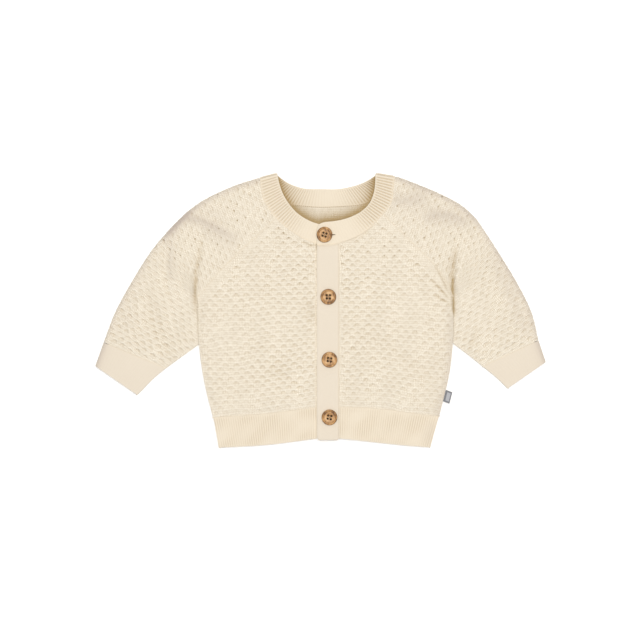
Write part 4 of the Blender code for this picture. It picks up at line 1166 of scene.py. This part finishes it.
def neckband():
    """The whole neckband, from its lapped right end round the back of the neck to its left end."""
    stations = neck_stations()
    t = np.linspace(0, 1, NECK_ACROSS + 1)[:, None]
    crown = EDGE_ROUNDING * (np.abs(2 * t - 1) ** 6).ravel()
    right_side, wrong_side, strengths, shades = [], [], [], []
    for edge, seam, level, angle in stations:
        across = (seam - edge) / np.linalg.norm(seam - edge)
        outward = np.array([across[1], -across[0]]) * (1 if edge[0] < seam[0] else -1)
        outward *= np.sign(outward[1])
        in_front = (1 + math.cos(angle)) / 2
        radius = level / 2
        line = edge + (seam - edge) * t
        faces = ((right_side, radius - crown * in_front, RIB_LIFT * (1 - in_front)),
                 (wrong_side, radius - KNIT, 0.0))
        for points, reach, lift in faces:
            height = radius + reach * math.cos(angle) + lift + np.zeros(NECK_ACROSS + 1)
            shift = outward * (reach * math.sin(angle) * np.ones(NECK_ACROSS + 1))[:, None]
            points.append(np.column_stack([line + shift, height]))
        middle = (edge[0] + seam[0]) / 2
        plain, reach = (18, 26) if angle == 0 else (0, 40)
        most = 0.9 if middle < NECK_MIDDLE else 1.1
        strength = 0.1 + most * ease(abs(middle - NECK_MIDDLE) - plain, reach)
        strengths.append(np.full(NECK_ACROSS + 1, strength))
        # The collar's painted shade on the inner face at the back of the neck.
        behind_front = collar_shade(line[None], 5.5, 0.95)[0] if angle > 3 else 0.0
        shades.append(np.zeros(NECK_ACROSS + 1) + behind_front)
    outer, inner = np.array(right_side), np.array(wrong_side)
    strength = np.array(strengths) * ease(np.minimum(t, 1 - t).ravel(), 0.12)
    across = np.arange(len(stations))[:, None] * NECK_RIB / PER_RIB * np.ones(NECK_ACROSS + 1)
    along = np.linspace(0, 18, NECK_ACROSS + 1) * np.ones((len(stations), 1))
    item = shell("neckband_knit", outer, inner, np.dstack([across, along, strength]),
                 channels(outer, np.array(shades)), step=1)
    return evaluate(item, RIBS, Rib_spacing=NECK_RIB, Rise=0.9 * MM, Material=NECK_KNIT)


neck = neckband()

# %% [markdown]
# ## The front bands
# Two bands of plain knit, sewn along the fronts: the wearer's left one has the buttonholes and laps
# over the right one, which carries the buttons. Along both edges runs a faint raised line, where the
# knit turns in. Under each button the pull of the thread draws the band into faint curved lines.

# %% Bands
BAND_ROWS = 240
BAND_ACROSS = 32
BAND_EDGE = (7.6, 0.45, 0.12)   # where the raised lines run from the middle, half-width, rise
BUTTONS = [(3.8, 71.6), (7.4, 12.8), (8.5, -46.7), (8.5, -101.2)]
PULLS = [(9.0, -0.12), (10.6, 0.1), (12.2, -0.1), (13.8, 0.08)]   # distance from a button, rise
PULL_WIDTH = 0.8


def band(name, side, bottom, corner, top):
    """A front band of plain knit, from the neckband down to its lower end, with rounded corners."""
    seam = curve(side + "_neck_seam")
    top_line = spaced(stretch(seam, (BAND_LEFT, BAND_TOP), (BAND_RIGHT, BAND_TOP)), BAND_ACROSS)
    top_line = top_line[np.argsort(top_line[:, 0])] - np.array([0.0, JOIN])
    top_line[0, 0], top_line[-1, 0] = BAND_LEFT, BAND_RIGHT
    turn = np.linspace(0, math.pi / 2, 9)[:, None]
    arc = corner * np.hstack([1 - np.cos(turn), 1 - np.sin(turn)])
    left_end = np.array([BAND_LEFT, bottom]) + arc
    right_end = np.array([BAND_RIGHT, bottom]) + arc * (-1, 1)
    left = chain(spaced(np.array([top_line[0], left_end[0]]), BAND_ROWS), left_end)
    right = chain(spaced(np.array([top_line[-1], right_end[0]]), BAND_ROWS), right_end)
    lower = spaced(np.array([left[-1], right[-1]]), BAND_ACROSS)
    net = patch(left, right, top_line, lower)
    height = np.full(net.shape[:-1], float(top))
    rim = np.minimum(away(net, chain(left, lower)), away(net, right))
    height -= 0.45 * (1 - ease(rim, 1.8))
    middle_to_line, half_width, rise = BAND_EDGE
    height += rise * np.exp(-((abs(net[..., 0] - BAND_MIDDLE) - middle_to_line) / half_width) ** 2)
    for x, y in BUTTONS:
        distance = np.hypot(net[..., 0] - x, (net[..., 1] - y) * 0.8)
        below_button = ease(-(net[..., 1] - y), 9)
        for ring, rise in PULLS:
            height += rise * np.exp(-((distance - ring) / PULL_WIDTH) ** 2) * below_button
    knit = channels(net, net[..., 0], net[..., 1], 0.0)
    # Painted shade along the band's top edge, under the neckband.
    top_shade = 0.35 * np.exp(-away(net, top_line) / 0.7)
    item = shell(name, raised(net, height), raised(net, height - KNIT), knit, channels(net, top_shade))
    return evaluate(item, HONEYCOMB, Material=PLAIN_KNIT)


bands = {"button_band": band("button_band_knit", "right", BAND_BOTTOM + 2.2, 0.8, LOWEST_TOP),
         "buttonhole_band": band("buttonhole_band_knit", "left", BAND_BOTTOM, 3.0, LAP_TOP)}

# %% [markdown]
# ## Seams
# The pieces are linked: a knitting machine joins two edges loop by loop, which leaves a fine row of
# slanted stitches. It is the same stitch all along a line, so a geometry tree sets copies of one bent
# stitch on points a fixed step apart, each turned along the seam.

# %% Linking stitches
LINK_STEP = 1.5
LINK_LENGTH = 1.9
LINK_THICKNESS = 0.3      # half the thickness of a stitch
LINK_SLANT = 0.6          # its turn away from the seam, in radians
LINK_ARCH = 0.25
STRAND = 0.714            # one twist of the yarn's strands, drawn a little longer than it is


def stitch_tree():
    """One bent, slanted stitch, repeated along a line."""
    tree, inputs = open_tree("linking_stitches", {
        "Step": LINK_STEP * MM, "Length": LINK_LENGTH * MM, "Thickness": LINK_THICKNESS * MM,
        "Slant": LINK_SLANT, "Arch": LINK_ARCH * MM})
    line = add(tree, "GeometryNodeMeshToCurve", {"Mesh": inputs.outputs["Geometry"]})
    points = add(tree, "GeometryNodeResampleCurve", {"Curve": line, "Length": inputs.outputs["Step"]},
                 mode="LENGTH")
    half_length = add(tree, "MULTIPLY", inputs.outputs["Length"], 0.5)
    back_end = add(tree, "MULTIPLY", half_length, -1.0)
    start, end = [add(tree, "ShaderNodeCombineXYZ", {"X": x}) for x in (back_end, half_length)]
    middle = add(tree, "ShaderNodeCombineXYZ", {"Z": inputs.outputs["Arch"]})
    bent = add(tree, "GeometryNodeCurveQuadraticBezier", {"Resolution": 4, "Start": start,
                                                          "Middle": middle, "End": end})
    profile = add(tree, "GeometryNodeCurvePrimitiveCircle", {"Resolution": 6,
                                                             "Radius": inputs.outputs["Thickness"]})
    loop = add(tree, "GeometryNodeCurveToMesh", {"Curve": bent, "Profile Curve": profile, "Fill Caps": True})
    tangent = add(tree, "GeometryNodeInputTangent")
    facing = add(tree, "FunctionNodeAlignRotationToVector", {"Vector": tangent}, axis="X")
    slant = add(tree, "FunctionNodeAxisAngleToRotation", {"Axis": (0, 0, 1),
                                                          "Angle": inputs.outputs["Slant"]})
    slanted = add(tree, "FunctionNodeRotateRotation", {"Rotation": facing, "Rotate By": slant},
                  rotation_space="LOCAL")
    placed = add(tree, "GeometryNodeInstanceOnPoints", {"Points": points, "Instance": loop,
                                                        "Rotation": slanted})
    return close_tree(tree, inputs, placed)


STITCHES = stitch_tree()


def yarn_material(name, colour):
    """Two-ply cotton yarn: slanted strands, matt, with a little fuzz."""
    material, tree, shader = new_material(name)
    place = add(tree, "ShaderNodeTexCoord").outputs["Object"]
    strands = add(tree, "ShaderNodeTexNoise", {"Vector": place, "Scale": scale_for(STRAND), "Detail": 3.0})
    colours = add(tree, "ShaderNodeMix", {"Factor": add(tree, "MULTIPLY", strands, 0.3),
                                          6: linear(colour), 7: linear(TONE_AND_SHADE_CREAM)}, data_type="RGBA")
    bump = add(tree, "ShaderNodeBump", {"Height": strands, "Strength": 0.3, "Distance": 0.15 * MM})
    connect(tree, shader, {"Base Color": colours.outputs[2], "Normal": bump, "Roughness": 0.9,
                           "IOR": COTTON_IOR, "Sheen Weight": 0.1})
    return material


YARN = yarn_material("two_ply_cotton_linking_yarn", "E6DCC9")
# The back neck seam lies in the collar's shade, so its yarn is painted darker, as shade.
SHADED_YARN = yarn_material("two_ply_cotton_linking_yarn_in_shade", "A58E6A")


def stitched(name, lines, material=YARN, **sizes):
    """One piece of stitching along several lines of points, given in millimetres."""
    points, edges = [], []
    for line in lines:
        edges += [(len(points) + k, len(points) + k + 1) for k in range(len(line) - 1)]
        points += list(line)
    item = new_piece(name, points, [], edges)
    evaluate(item, STITCHES, Material=material, **sizes)
    item.data.shade_smooth()
    return item


def at_level(line, level):
    """A line in the plane with a height, or with one for each point."""
    return np.column_stack([line, np.broadcast_to(level, len(line))])


print("a linking stitch every %.1f mm, %.1f mm long" % (LINK_STEP, LINK_LENGTH))

# %% Where the seams run
SINK = 0.12               # how far the stitches lie below the surface beside them
DEEP_SINK = SINK + 0.1    # and where the knit bulges over them
SEAM_POINTS = 60
CUFF_SEAM_POINTS = 24
UNDERARM_STEP, SIDE_STEP = 0.25, 0.6   # how far inside the outline the closing seams run
BETWEEN_LAYERS = BACK_TOP + SEAM / 2
# The seams along the two bands. Columns: x, upper end, lower end, level.
BAND_SEAMS = [(BAND_RIGHT + JOIN / 2, 64.5, -121, LAP_TOP - DEEP_SINK),
              (BAND_LEFT - JOIN / 2, 63, -120, LOWEST_TOP - SINK)]


def half_seams(side):
    """The seams of one half of the body, as lines with heights: neck, raglan, hem, underarm, side."""
    sign = 1 if side == "right" else -1
    _, neck_line, level = neck_part(side)
    shown = neck_line[:, 0] < BAND_LEFT - 0.5 if side == "right" else slice(None)
    raglan = spaced(curve(side + "_raglan"), SEAM_POINTS)
    run = np.linspace(0, np.linalg.norm(raglan[0] - raglan[-1]), SEAM_POINTS + 1)
    raglan_level = RAGLAN_TOP - (RAGLAN_TOP - RIB_TOP) * (1 - ease(run, REACH["neck"]))
    raglan_level -= (RAGLAN_TOP - LOWEST_TOP) * (1 - ease(run[-1] - run, REACH["side"]))
    hem = spaced(curve(side + "_hem_top"), SEAM_POINTS)
    from_band = np.abs(hem[:, 0] - (BAND_LEFT if side == "right" else BAND_RIGHT))
    hem_level = settle(RIB_TOP, from_band, BAND_SIDE_TOP[side], REACH["band"])
    from_side = away(hem, curve(side + "_side"))
    hem_level = np.minimum(hem_level, settle(hem_level, from_side, LOWEST_TOP, REACH["side"]))
    underarm = chain(curve(side + "_underarm"), curve(side + "_forearm"), curve(side + "_cuff_seam"))
    side_line = chain(curve(side + "_side"), curve(side + "_hem_side"))
    return [at_level(neck_line, level - DEEP_SINK)[shown],
            at_level(raglan + np.array([sign * JOIN_STEP / 2, 0]), raglan_level - SINK),
            at_level(hem, hem_level - SINK),
            at_level(underarm + np.array([-sign * UNDERARM_STEP, UNDERARM_STEP]), BETWEEN_LAYERS),
            at_level(side_line + np.array([sign * SIDE_STEP, 0]), BETWEEN_LAYERS)]


def cuff_seam(side):
    """The seam between a sleeve and its cuff, from just inside the fold."""
    seam_end = curve(side + "_cuff_seam")[0]
    line = spaced(np.array([curve(side + "_cuff_fold")[0], seam_end]), CUFF_SEAM_POINTS)[2:]
    level = settle(RIB_TOP, np.linalg.norm(line - seam_end, axis=1), LOWEST_TOP, REACH["side"])
    return at_level(line, level - 2 * SINK)


seams = half_seams("right") + half_seams("left")
for x, upper, lower, level in BAND_SEAMS:
    seams.append(at_level(spaced(np.array([(x, upper), (x, lower)]), 90), level))
lap_end = curve("left_neck_seam")
seams.append(at_level(lap_end[lap_end[:, 0] < BAND_RIGHT] - np.array([0, 0.15]), LAP_TOP - SINK))
linking = stitched("linking_stitches", seams)
back_seam_line = at_level(curve("back_neck_seam"), BACK_TOP - 0.1)
back_linking = stitched("back_neck_stitches", [back_seam_line], SHADED_YARN,
                        Step=1.9 * MM, Length=1.1 * MM, Thickness=0.28 * MM, Slant=0.2)
cuff_linking = stitched("cuff_linking_stitches", [cuff_seam(side) for side in ("right", "left")],
                        Step=0.8 * MM, Slant=0.9, Arch=0.1 * MM)
print(len(seams), "seams, two of the cuffs and one of the back neck")

# %% [markdown]
# ## Buttons
# Four turned wooden buttons with a rounded rim, a groove inside it and a dished middle with four
# holes. The turned form is spun from a profile. The holes are cut with cylinders, as a drill would, and
# their walls are painted near black, as the shadow deep inside them. The outer flank, the rim and the
# groove are coloured darker than the dished middle, the flank most.

# %% Wood
GRAIN = 2.38              # size of the grain, before it is drawn out along the fibres
GRAIN_STRETCH = (3.0, 0.5, 1.0)   # three times as fine across them, twice as long along them
GRAIN_TURN = 0.5          # the way the fibres run, in radians
GRAIN_BEND, BEND_DEPTH = 6.25, 4.0   # the grain swerves once in so many millimetres, and how far
BLOTCH = 5.26             # size of the darker blotches


def wood_material(name, dark, middle, light, roughness=0.42, gloss=0.35):
    """Turned light hardwood with a satin varnish: brown grain and blotches under a soft gloss."""
    material, tree, shader = new_material(name)
    place = add(tree, "ShaderNodeTexCoord").outputs["Object"]
    slow = add(tree, "ShaderNodeTexNoise", {"Vector": place, "Scale": scale_for(GRAIN_BEND), "Detail": 3.0})
    bend = add(tree, "ShaderNodeVectorMath", {0: slow.outputs["Color"], "Scale": BEND_DEPTH * MM},
               operation="SCALE")
    bent = add(tree, "ShaderNodeVectorMath", place, bend)
    grain_space = add(tree, "ShaderNodeMapping", {"Vector": bent, "Scale": GRAIN_STRETCH,
                                                  "Rotation": (0, 0, GRAIN_TURN)})
    grain = add(tree, "ShaderNodeTexNoise", {"Vector": grain_space, "Scale": scale_for(GRAIN),
                                             "Detail": 5.0})
    blotch = add(tree, "ShaderNodeTexNoise", {"Vector": place, "Scale": scale_for(BLOTCH), "Detail": 2.0})
    mixed = add(tree, "MULTIPLY_ADD", blotch, 0.5, add(tree, "MULTIPLY", grain, 0.5))
    tan = add(tree, "ShaderNodeAttribute", attribute_name="tan").outputs["Fac"]
    ramp = add(tree, "ShaderNodeValToRGB", add(tree, "MULTIPLY_ADD", tan, -0.13, mixed))
    for stop, (at, colour) in enumerate(((0.34, dark), (0.62, light))):
        ramp.color_ramp.elements[stop].position = at
        ramp.color_ramp.elements[stop].color = linear(colour)
    ramp.color_ramp.elements.new(0.49).color = linear(middle)
    bump = add(tree, "ShaderNodeBump", {"Height": grain, "Strength": 0.2, "Distance": 0.1 * MM})
    connect(tree, shader, {"Base Color": ramp, "Normal": bump, "Roughness": roughness, "IOR": 1.5,
                           "Specular IOR Level": gloss})
    return material


WOOD = wood_material("varnished_light_hardwood", "64421F", "AF824C", "D0AA78")
# Painted shadow: the walls and bottoms of the holes get a matt, near-black wood, for the shade deep inside
# them.
PAINTED_HOLE_SHADOW = wood_material("hardwood_in_the_holes_painted_as_shadow", "080503", "110A06", "1A100A", 0.95, 0.05)
print("wood for the buttons and the insides of their holes")

# %% Turned buttons
BUTTON_SIDES = 72
HOLE_RADIUS, HOLE_REACH = 1.12, 2.02
DRILL_LENGTH, DRILL_LEVEL = 6, 3.3   # the cutting cylinder, and its middle over the button's underside
# The turned outside of a button. Columns: radius, height over the button's underside, how much darker.
BUTTON_PROFILE = [
    (5.8, 0, 1), (6.6, 0.12, 1), (7.15, 0.45, 1), (7.42, 1.0, 1), (7.45, 1.6, 0.8), (7.3, 2.3, 0.6),
    (6.95, 2.8, 0.5), (6.45, 3.0, 0.35), (5.95, 2.95, 0.3), (5.55, 2.75, 0.4), (5.3, 2.5, 0.35),
    (5.05, 2.4, 0.3), (4.8, 2.42, 0.3), (4.5, 2.46, 0.1), (4.0, 2.38, 0), (3.0, 2.18, 0), (1.5, 2.04, 0),
]
BUTTON_CENTRE = 2.0       # height of the dished middle
BUTTON_TURNS = [16, 0, 8, 10]   # how far each one is turned, in degrees
BUTTON_BASE = LAP_TOP + SEAM


def hole_places(number):
    """The middles of a button's four holes."""
    x, y = BUTTONS[number]
    angles = [math.radians(-BUTTON_TURNS[number]) + math.pi * (k + 0.5) / 2 for k in range(4)]
    return [(x + HOLE_REACH * math.cos(a), y + HOLE_REACH * math.sin(a)) for a in angles]


def turned_form():
    """The points, tans and faces of a button as it comes from the lathe."""
    angles = [2 * math.pi * k / BUTTON_SIDES for k in range(BUTTON_SIDES)]
    points, tans = [(0, 0, 0)], [1.0]
    for radius, height, tan in BUTTON_PROFILE:
        points += [(radius * math.cos(a), radius * math.sin(a), height) for a in angles]
        tans += [tan] * BUTTON_SIDES
    points.append((0, 0, BUTTON_CENTRE))
    tans.append(0.0)
    faces = []
    for k in range(BUTTON_SIDES):
        after = (k + 1) % BUTTON_SIDES
        faces.append((0, 1 + after, 1 + k))
        for low in range(1, len(points) - BUTTON_SIDES - 1, BUTTON_SIDES):
            faces.append((low + k, low + after, low + BUTTON_SIDES + after, low + BUTTON_SIDES + k))
        last = len(points) - 1 - BUTTON_SIDES
        faces.append((last + k, last + after, len(points) - 1))
    return np.array(points), tans, faces


def button(number):
    """A turned wooden button with four drilled holes."""
    points, tans, faces = turned_form()
    item = new_piece("button_%d_wood" % (number + 1), points + (*BUTTONS[number], BUTTON_BASE), faces)
    item.data.attributes.new("tan", "FLOAT", "POINT").data.foreach_set("value", tans)
    item.data.materials.append(WOOD)
    cutters = []
    for x, y in hole_places(number):
        bpy.ops.mesh.primitive_cylinder_add(
            vertices=20, radius=HOLE_RADIUS * MM, depth=DRILL_LENGTH * MM,
            location=(x * MM, y * MM, (BUTTON_BASE + DRILL_LEVEL) * MM))
        cutters.append(bpy.context.object)
        # What the cutter leaves behind takes the painted shadow of the holes.
        cutters[-1].data.materials.append(PAINTED_HOLE_SHADOW)
        cut = item.modifiers.new("hole", "BOOLEAN")
        cut.object = cutters[-1]
        cut.material_mode = "TRANSFER"
    keep_result(item)
    for cutter in cutters:
        bpy.data.objects.remove(cutter)
    item.data.shade_smooth()
    item.data.set_sharp_from_angle(angle=math.radians(45))
    return item


buttons = [button(number) for number in range(4)]
print(len(buttons), "buttons of", len(buttons[0].data.polygons), "faces")

# %% [markdown]
# Each button is sewn on with cotton thread that goes up through one hole and down through the one
# across from it, so two bundles of thread cross in the middle. Each strand is a thin tube round a line
# that starts and ends inside the holes.

# %% Sewing thread
THREAD_RADIUS = 0.11
STRANDS = 2
THREAD_SIDES = 6
THREAD_TOP = 2.28         # where the lower thread lies, over the button's underside
THREAD_END, THREAD_DIP = 0.4, 1.7   # its ends inside the holes, and where it enters them


def tube(line, radius, sides):
    """The points and faces of a closed round tube along a line."""
    along = np.gradient(line, axis=0)
    along /= np.linalg.norm(along, axis=1)[:, None]
    side = np.cross(along, (0.3, 0.9, 0.2))
    side /= np.linalg.norm(side, axis=1)[:, None]
    up = np.cross(side, along)
    turn = [2 * math.pi * k / sides for k in range(sides)]
    points = np.stack([line + radius * (math.cos(a) * side + math.sin(a) * up) for a in turn], axis=1)
    faces = [(r * sides + k, r * sides + (k + 1) % sides, (r + 1) * sides + (k + 1) % sides,
              (r + 1) * sides + k) for r in range(len(line) - 1) for k in range(sides)]
    faces.append(tuple(range(sides)))
    faces.append(tuple(range((len(line) - 1) * sides, len(line) * sides)))
    return points.reshape(-1, 3), faces


def sewing(number):
    """The crossed threads of one button."""
    holes = [np.array(place) for place in hole_places(number)]
    points, faces = [], []
    for layer, (start, end) in enumerate(((holes[0], holes[2]), (holes[1], holes[3]))):
        along = (end - start) / np.linalg.norm(end - start)
        beside = np.array([-along[1], along[0]])
        for strand in range(STRANDS):
            shift = beside * (strand - (STRANDS - 1) / 2) * 1.9 * THREAD_RADIUS
            top = BUTTON_BASE + THREAD_TOP + 0.25 * layer
            line = np.array([(*(start + shift * 0.7), BUTTON_BASE + THREAD_END),
                             (*(start + shift), BUTTON_BASE + THREAD_DIP),
                             (*(start + shift + along * 0.7), top - 0.02),
                             (*((start + end) / 2 + shift), top + 0.14),
                             (*(end + shift - along * 0.7), top - 0.02),
                             (*(end + shift), BUTTON_BASE + THREAD_DIP),
                             (*(end + shift * 0.7), BUTTON_BASE + THREAD_END)])
            new_points, new_faces = tube(curve(line, 5), THREAD_RADIUS, THREAD_SIDES)
            faces += [tuple(len(points) + v for v in face) for face in new_faces]
            points += new_points.tolist()
    item = new_piece("button_%d_thread" % (number + 1), points, faces)
    face_outward(item.data)
    item.data.materials.append(THREAD)
    return item


THREAD = yarn_material("mercerised_cotton_sewing_thread", "8C6A48")
threads = [sewing(number) for number in range(4)]
print(len(threads), "buttons sewn on")

# %% [markdown]
# ## Buttonholes
# Each buttonhole is a slit across the band, whipped round with close stitches. Only the end of the top
# one shows beside its button, but all four are there, under their buttons. The shadow inside a slit is
# painted: a flat dark strip that lies just over the band.

# %% Buttonholes
SLIT_LEFT, SLIT_RIGHT = 1.0, 14.3
SLIT_HALF_WIDTH = 0.5
SLIT_LIFT = 0.1           # the dark strip lies just over the band
LOOP = 1.11               # a loop of the knit inside the slit


def slit_outline(y, half_width, grow):
    """A long narrow loop round a slit."""
    turn = np.linspace(0, 2 * math.pi, 41)
    middle, half_length = (SLIT_LEFT + SLIT_RIGHT) / 2, (SLIT_RIGHT - SLIT_LEFT) / 2 + grow
    x = middle + half_length * np.sign(np.cos(turn)) * np.abs(np.cos(turn)) ** 0.5
    return np.column_stack([x, y + half_width * np.sin(turn)])


whipping_lines = [at_level(slit_outline(y, SLIT_HALF_WIDTH + 0.5, 0.5), LAP_TOP - 0.05) for _, y in BUTTONS]
whipping = stitched("buttonhole_stitches", whipping_lines, Step=0.5 * MM, Length=0.9 * MM,
                    Thickness=0.16 * MM, Slant=1.45, Arch=0.1 * MM)


def slit_strips():
    """Flat strips painted dark, as the shadow inside the four slits."""
    points, faces = [], []
    for _, y in BUTTONS:
        outline = slit_outline(y, SLIT_HALF_WIDTH, 0)[:-1]
        first = len(points)
        points += at_level(outline, LAP_TOP + SLIT_LIFT).tolist()
        faces.append(tuple(range(first, len(points))))
    item = new_piece("buttonhole_slit_painted_shadows", points, faces)
    material, tree, shader = new_material("painted_shadow_in_buttonhole_slits")
    place = add(tree, "ShaderNodeTexCoord").outputs["Object"]
    # The painted shadow is mottled, like shaded loops of knit.
    loops = add(tree, "ShaderNodeTexNoise", {"Vector": place, "Scale": scale_for(LOOP)})
    colours = add(tree, "ShaderNodeMix", {"Factor": loops, 6: linear("6E604B"), 7: linear("4A3F31")},
                  data_type="RGBA")
    connect(tree, shader, {"Base Color": colours.outputs[2], "Roughness": 0.95})
    item.data.materials.append(material)
    return item


slits = slit_strips()
print("buttonholes:", len(whipping.data.polygons), "faces of stitches")

# %% [markdown]
# ## The label
# A small folded tab of woven tape, caught in the wearer's left side seam. It is left plain: grey with
# a lighter field.

# %% Label
LABEL = [(119.0, -75.4), (125.0, -77.7), (122.2, -88.5), (116.4, -86.2)]
LABEL_THICKNESS = 0.8     # of the two layers together
TAPE = 0.3
LABEL_TURN = 0.08         # the share of its length that turns over
LABEL_STEPS = 24
LABEL_LENGTH, LABEL_WIDTH = 6.0, 11.2
THREAD_PITCH = 0.35       # of the woven tape, drawn a little coarser than it is, so that it shows


def tape_material():
    """Woven polyester tape: fine threads both ways, with a slight satin gloss."""
    material, tree, shader = new_material("woven_polyester_tape")
    knit = add(tree, "ShaderNodeAttribute", attribute_name="knit")
    split = add(tree, "ShaderNodeSeparateXYZ", knit.outputs["Vector"])
    warp, weft = [add(tree, "SINE", add(tree, "MULTIPLY", split.outputs[way], 2 * math.pi / THREAD_PITCH))
                  for way in ("X", "Y")]
    weave = add(tree, "MULTIPLY", warp, weft)
    field = add(tree, "MULTIPLY_ADD", weave, 0.08, split.outputs["Z"])
    colours = add(tree, "ShaderNodeMix", {"Factor": field, 6: linear("77787C"), 7: linear("B4B5B8")},
                  data_type="RGBA")
    bump = add(tree, "ShaderNodeBump", {"Height": weave, "Strength": 0.5, "Distance": 0.08 * MM})
    connect(tree, shader, {"Base Color": colours.outputs[2], "Normal": bump, "Roughness": 0.6})
    return material


def label():
    """The tab: one tape folded over at its outer end, with both its ends in the seam."""
    upper_seam, upper_end, lower_end, lower_seam = np.array(LABEL, float)
    fold = spaced(np.array([upper_end, lower_end]), LABEL_STEPS)
    ends = spaced(np.array([upper_seam, lower_seam]), LABEL_STEPS)
    start = fold + (ends - fold) * LABEL_TURN
    net = patch(start, ends, spaced(np.array([start[0], ends[0]]), LABEL_STEPS),
                spaced(np.array([start[-1], ends[-1]]), LABEL_STEPS))
    t = np.linspace(0, 1, LABEL_STEPS + 1)
    field = (np.abs(t[:, None] - 0.5) < 0.34) & (np.abs(t[None, :] - 0.4) < 0.28)
    knit = channels(net, LABEL_LENGTH * t[None, :], LABEL_WIDTH * t[:, None], field * 0.8)
    low = BACK_TOP + SEAM
    item = folded("side_label_tape", fold, (net, knit, knit * 0), (net, knit * (-1, 1, 0), knit * 0),
                  np.full(net.shape[:-1], low + LABEL_THICKNESS), 8, TAPE, low)
    item.data.materials.append(tape_material())
    return item


side_label = label()
print("label:", len(side_label.data.polygons), "faces")

# %% [markdown]
# ## What stands for what
# Every piece is attached to the one body, and the solid of the construction model that a piece of cloth
# or a button stands for is hidden. For each piece of cloth the size it was cut to is worked out from its
# net and printed, laid pieces measured flat and folded ones along their surface. The table also lists
# each piece's finish and what it rests on, which this script does not use.

# %% Places and sheets
PIECES = [
    (fronts["right"], "front_right", "honeycomb_knit", "laid", ["back_knit"]),
    (fronts["left"], "front_left", "honeycomb_knit", "laid", ["back_knit"]),
    (back_panel, "back", "honeycomb_knit", "laid", ["floor"]),
    (sleeves["right"], "sleeve_right", "honeycomb_knit", "folded", ["floor"]),
    (sleeves["left"], "sleeve_left", "honeycomb_knit", "folded", ["floor"]),
    (hems["right"], "hem_front_right", "rib_knit", "laid", ["hem_back_knit"]),
    (hems["left"], "hem_front_left", "rib_knit", "laid", ["hem_back_knit"]),
    (hems["back"], "hem_back", "rib_knit", "laid", ["floor"]),
    (cuffs["right"], "cuff_right", "rib_knit", "folded", ["floor"]),
    (cuffs["left"], "cuff_left", "rib_knit", "folded", ["floor"]),
    (neck, "neckband", "rib_knit", "folded", ["floor"]),
    (bands["button_band"], "button_band", "plain_knit", "laid", ["back_knit", "hem_back_knit"]),
    (bands["buttonhole_band"], "buttonhole_band", "plain_knit", "laid", ["button_band_knit"]),
    (side_label, "side_label", "label_cloth", "folded", ["back_knit"]),
]


def cut_size(name, held):
    """The width, the length and the area of a piece's cloth before it was folded, in metres."""
    net = NETS[name] * MM
    if held == "laid":
        net = net * (1, 1, 0)
    across, down = np.diff(net, axis=1), np.diff(net, axis=0)
    area = np.linalg.norm(np.cross(across[:-1], down[:, :-1]), axis=-1).sum()
    if held == "laid":
        width, length = (net.max(axis=(0, 1)) - net.min(axis=(0, 1)))[:2]
    else:
        width = np.linalg.norm(across, axis=-1).sum(axis=1).max()
        length = np.linalg.norm(down, axis=-1).sum(axis=0).max()
    return (float(width), float(length)), float(area)


for item, node, slot, held, support in PIECES:
    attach(item, "root")
    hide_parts(node)
    flat, area = cut_size(item.name, held)
    measures = (item.name, flat[0] / MM, flat[1] / MM, area / MM ** 2)
    print("%-22s cut %4.0f x %4.0f mm, %6.0f square mm" % measures)
for number, item in enumerate(buttons):
    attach(item, "root")
    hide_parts("button_%d" % (number + 1))
for item in [linking, cuff_linking, back_linking, whipping, slits] + threads:
    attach(item, "root")
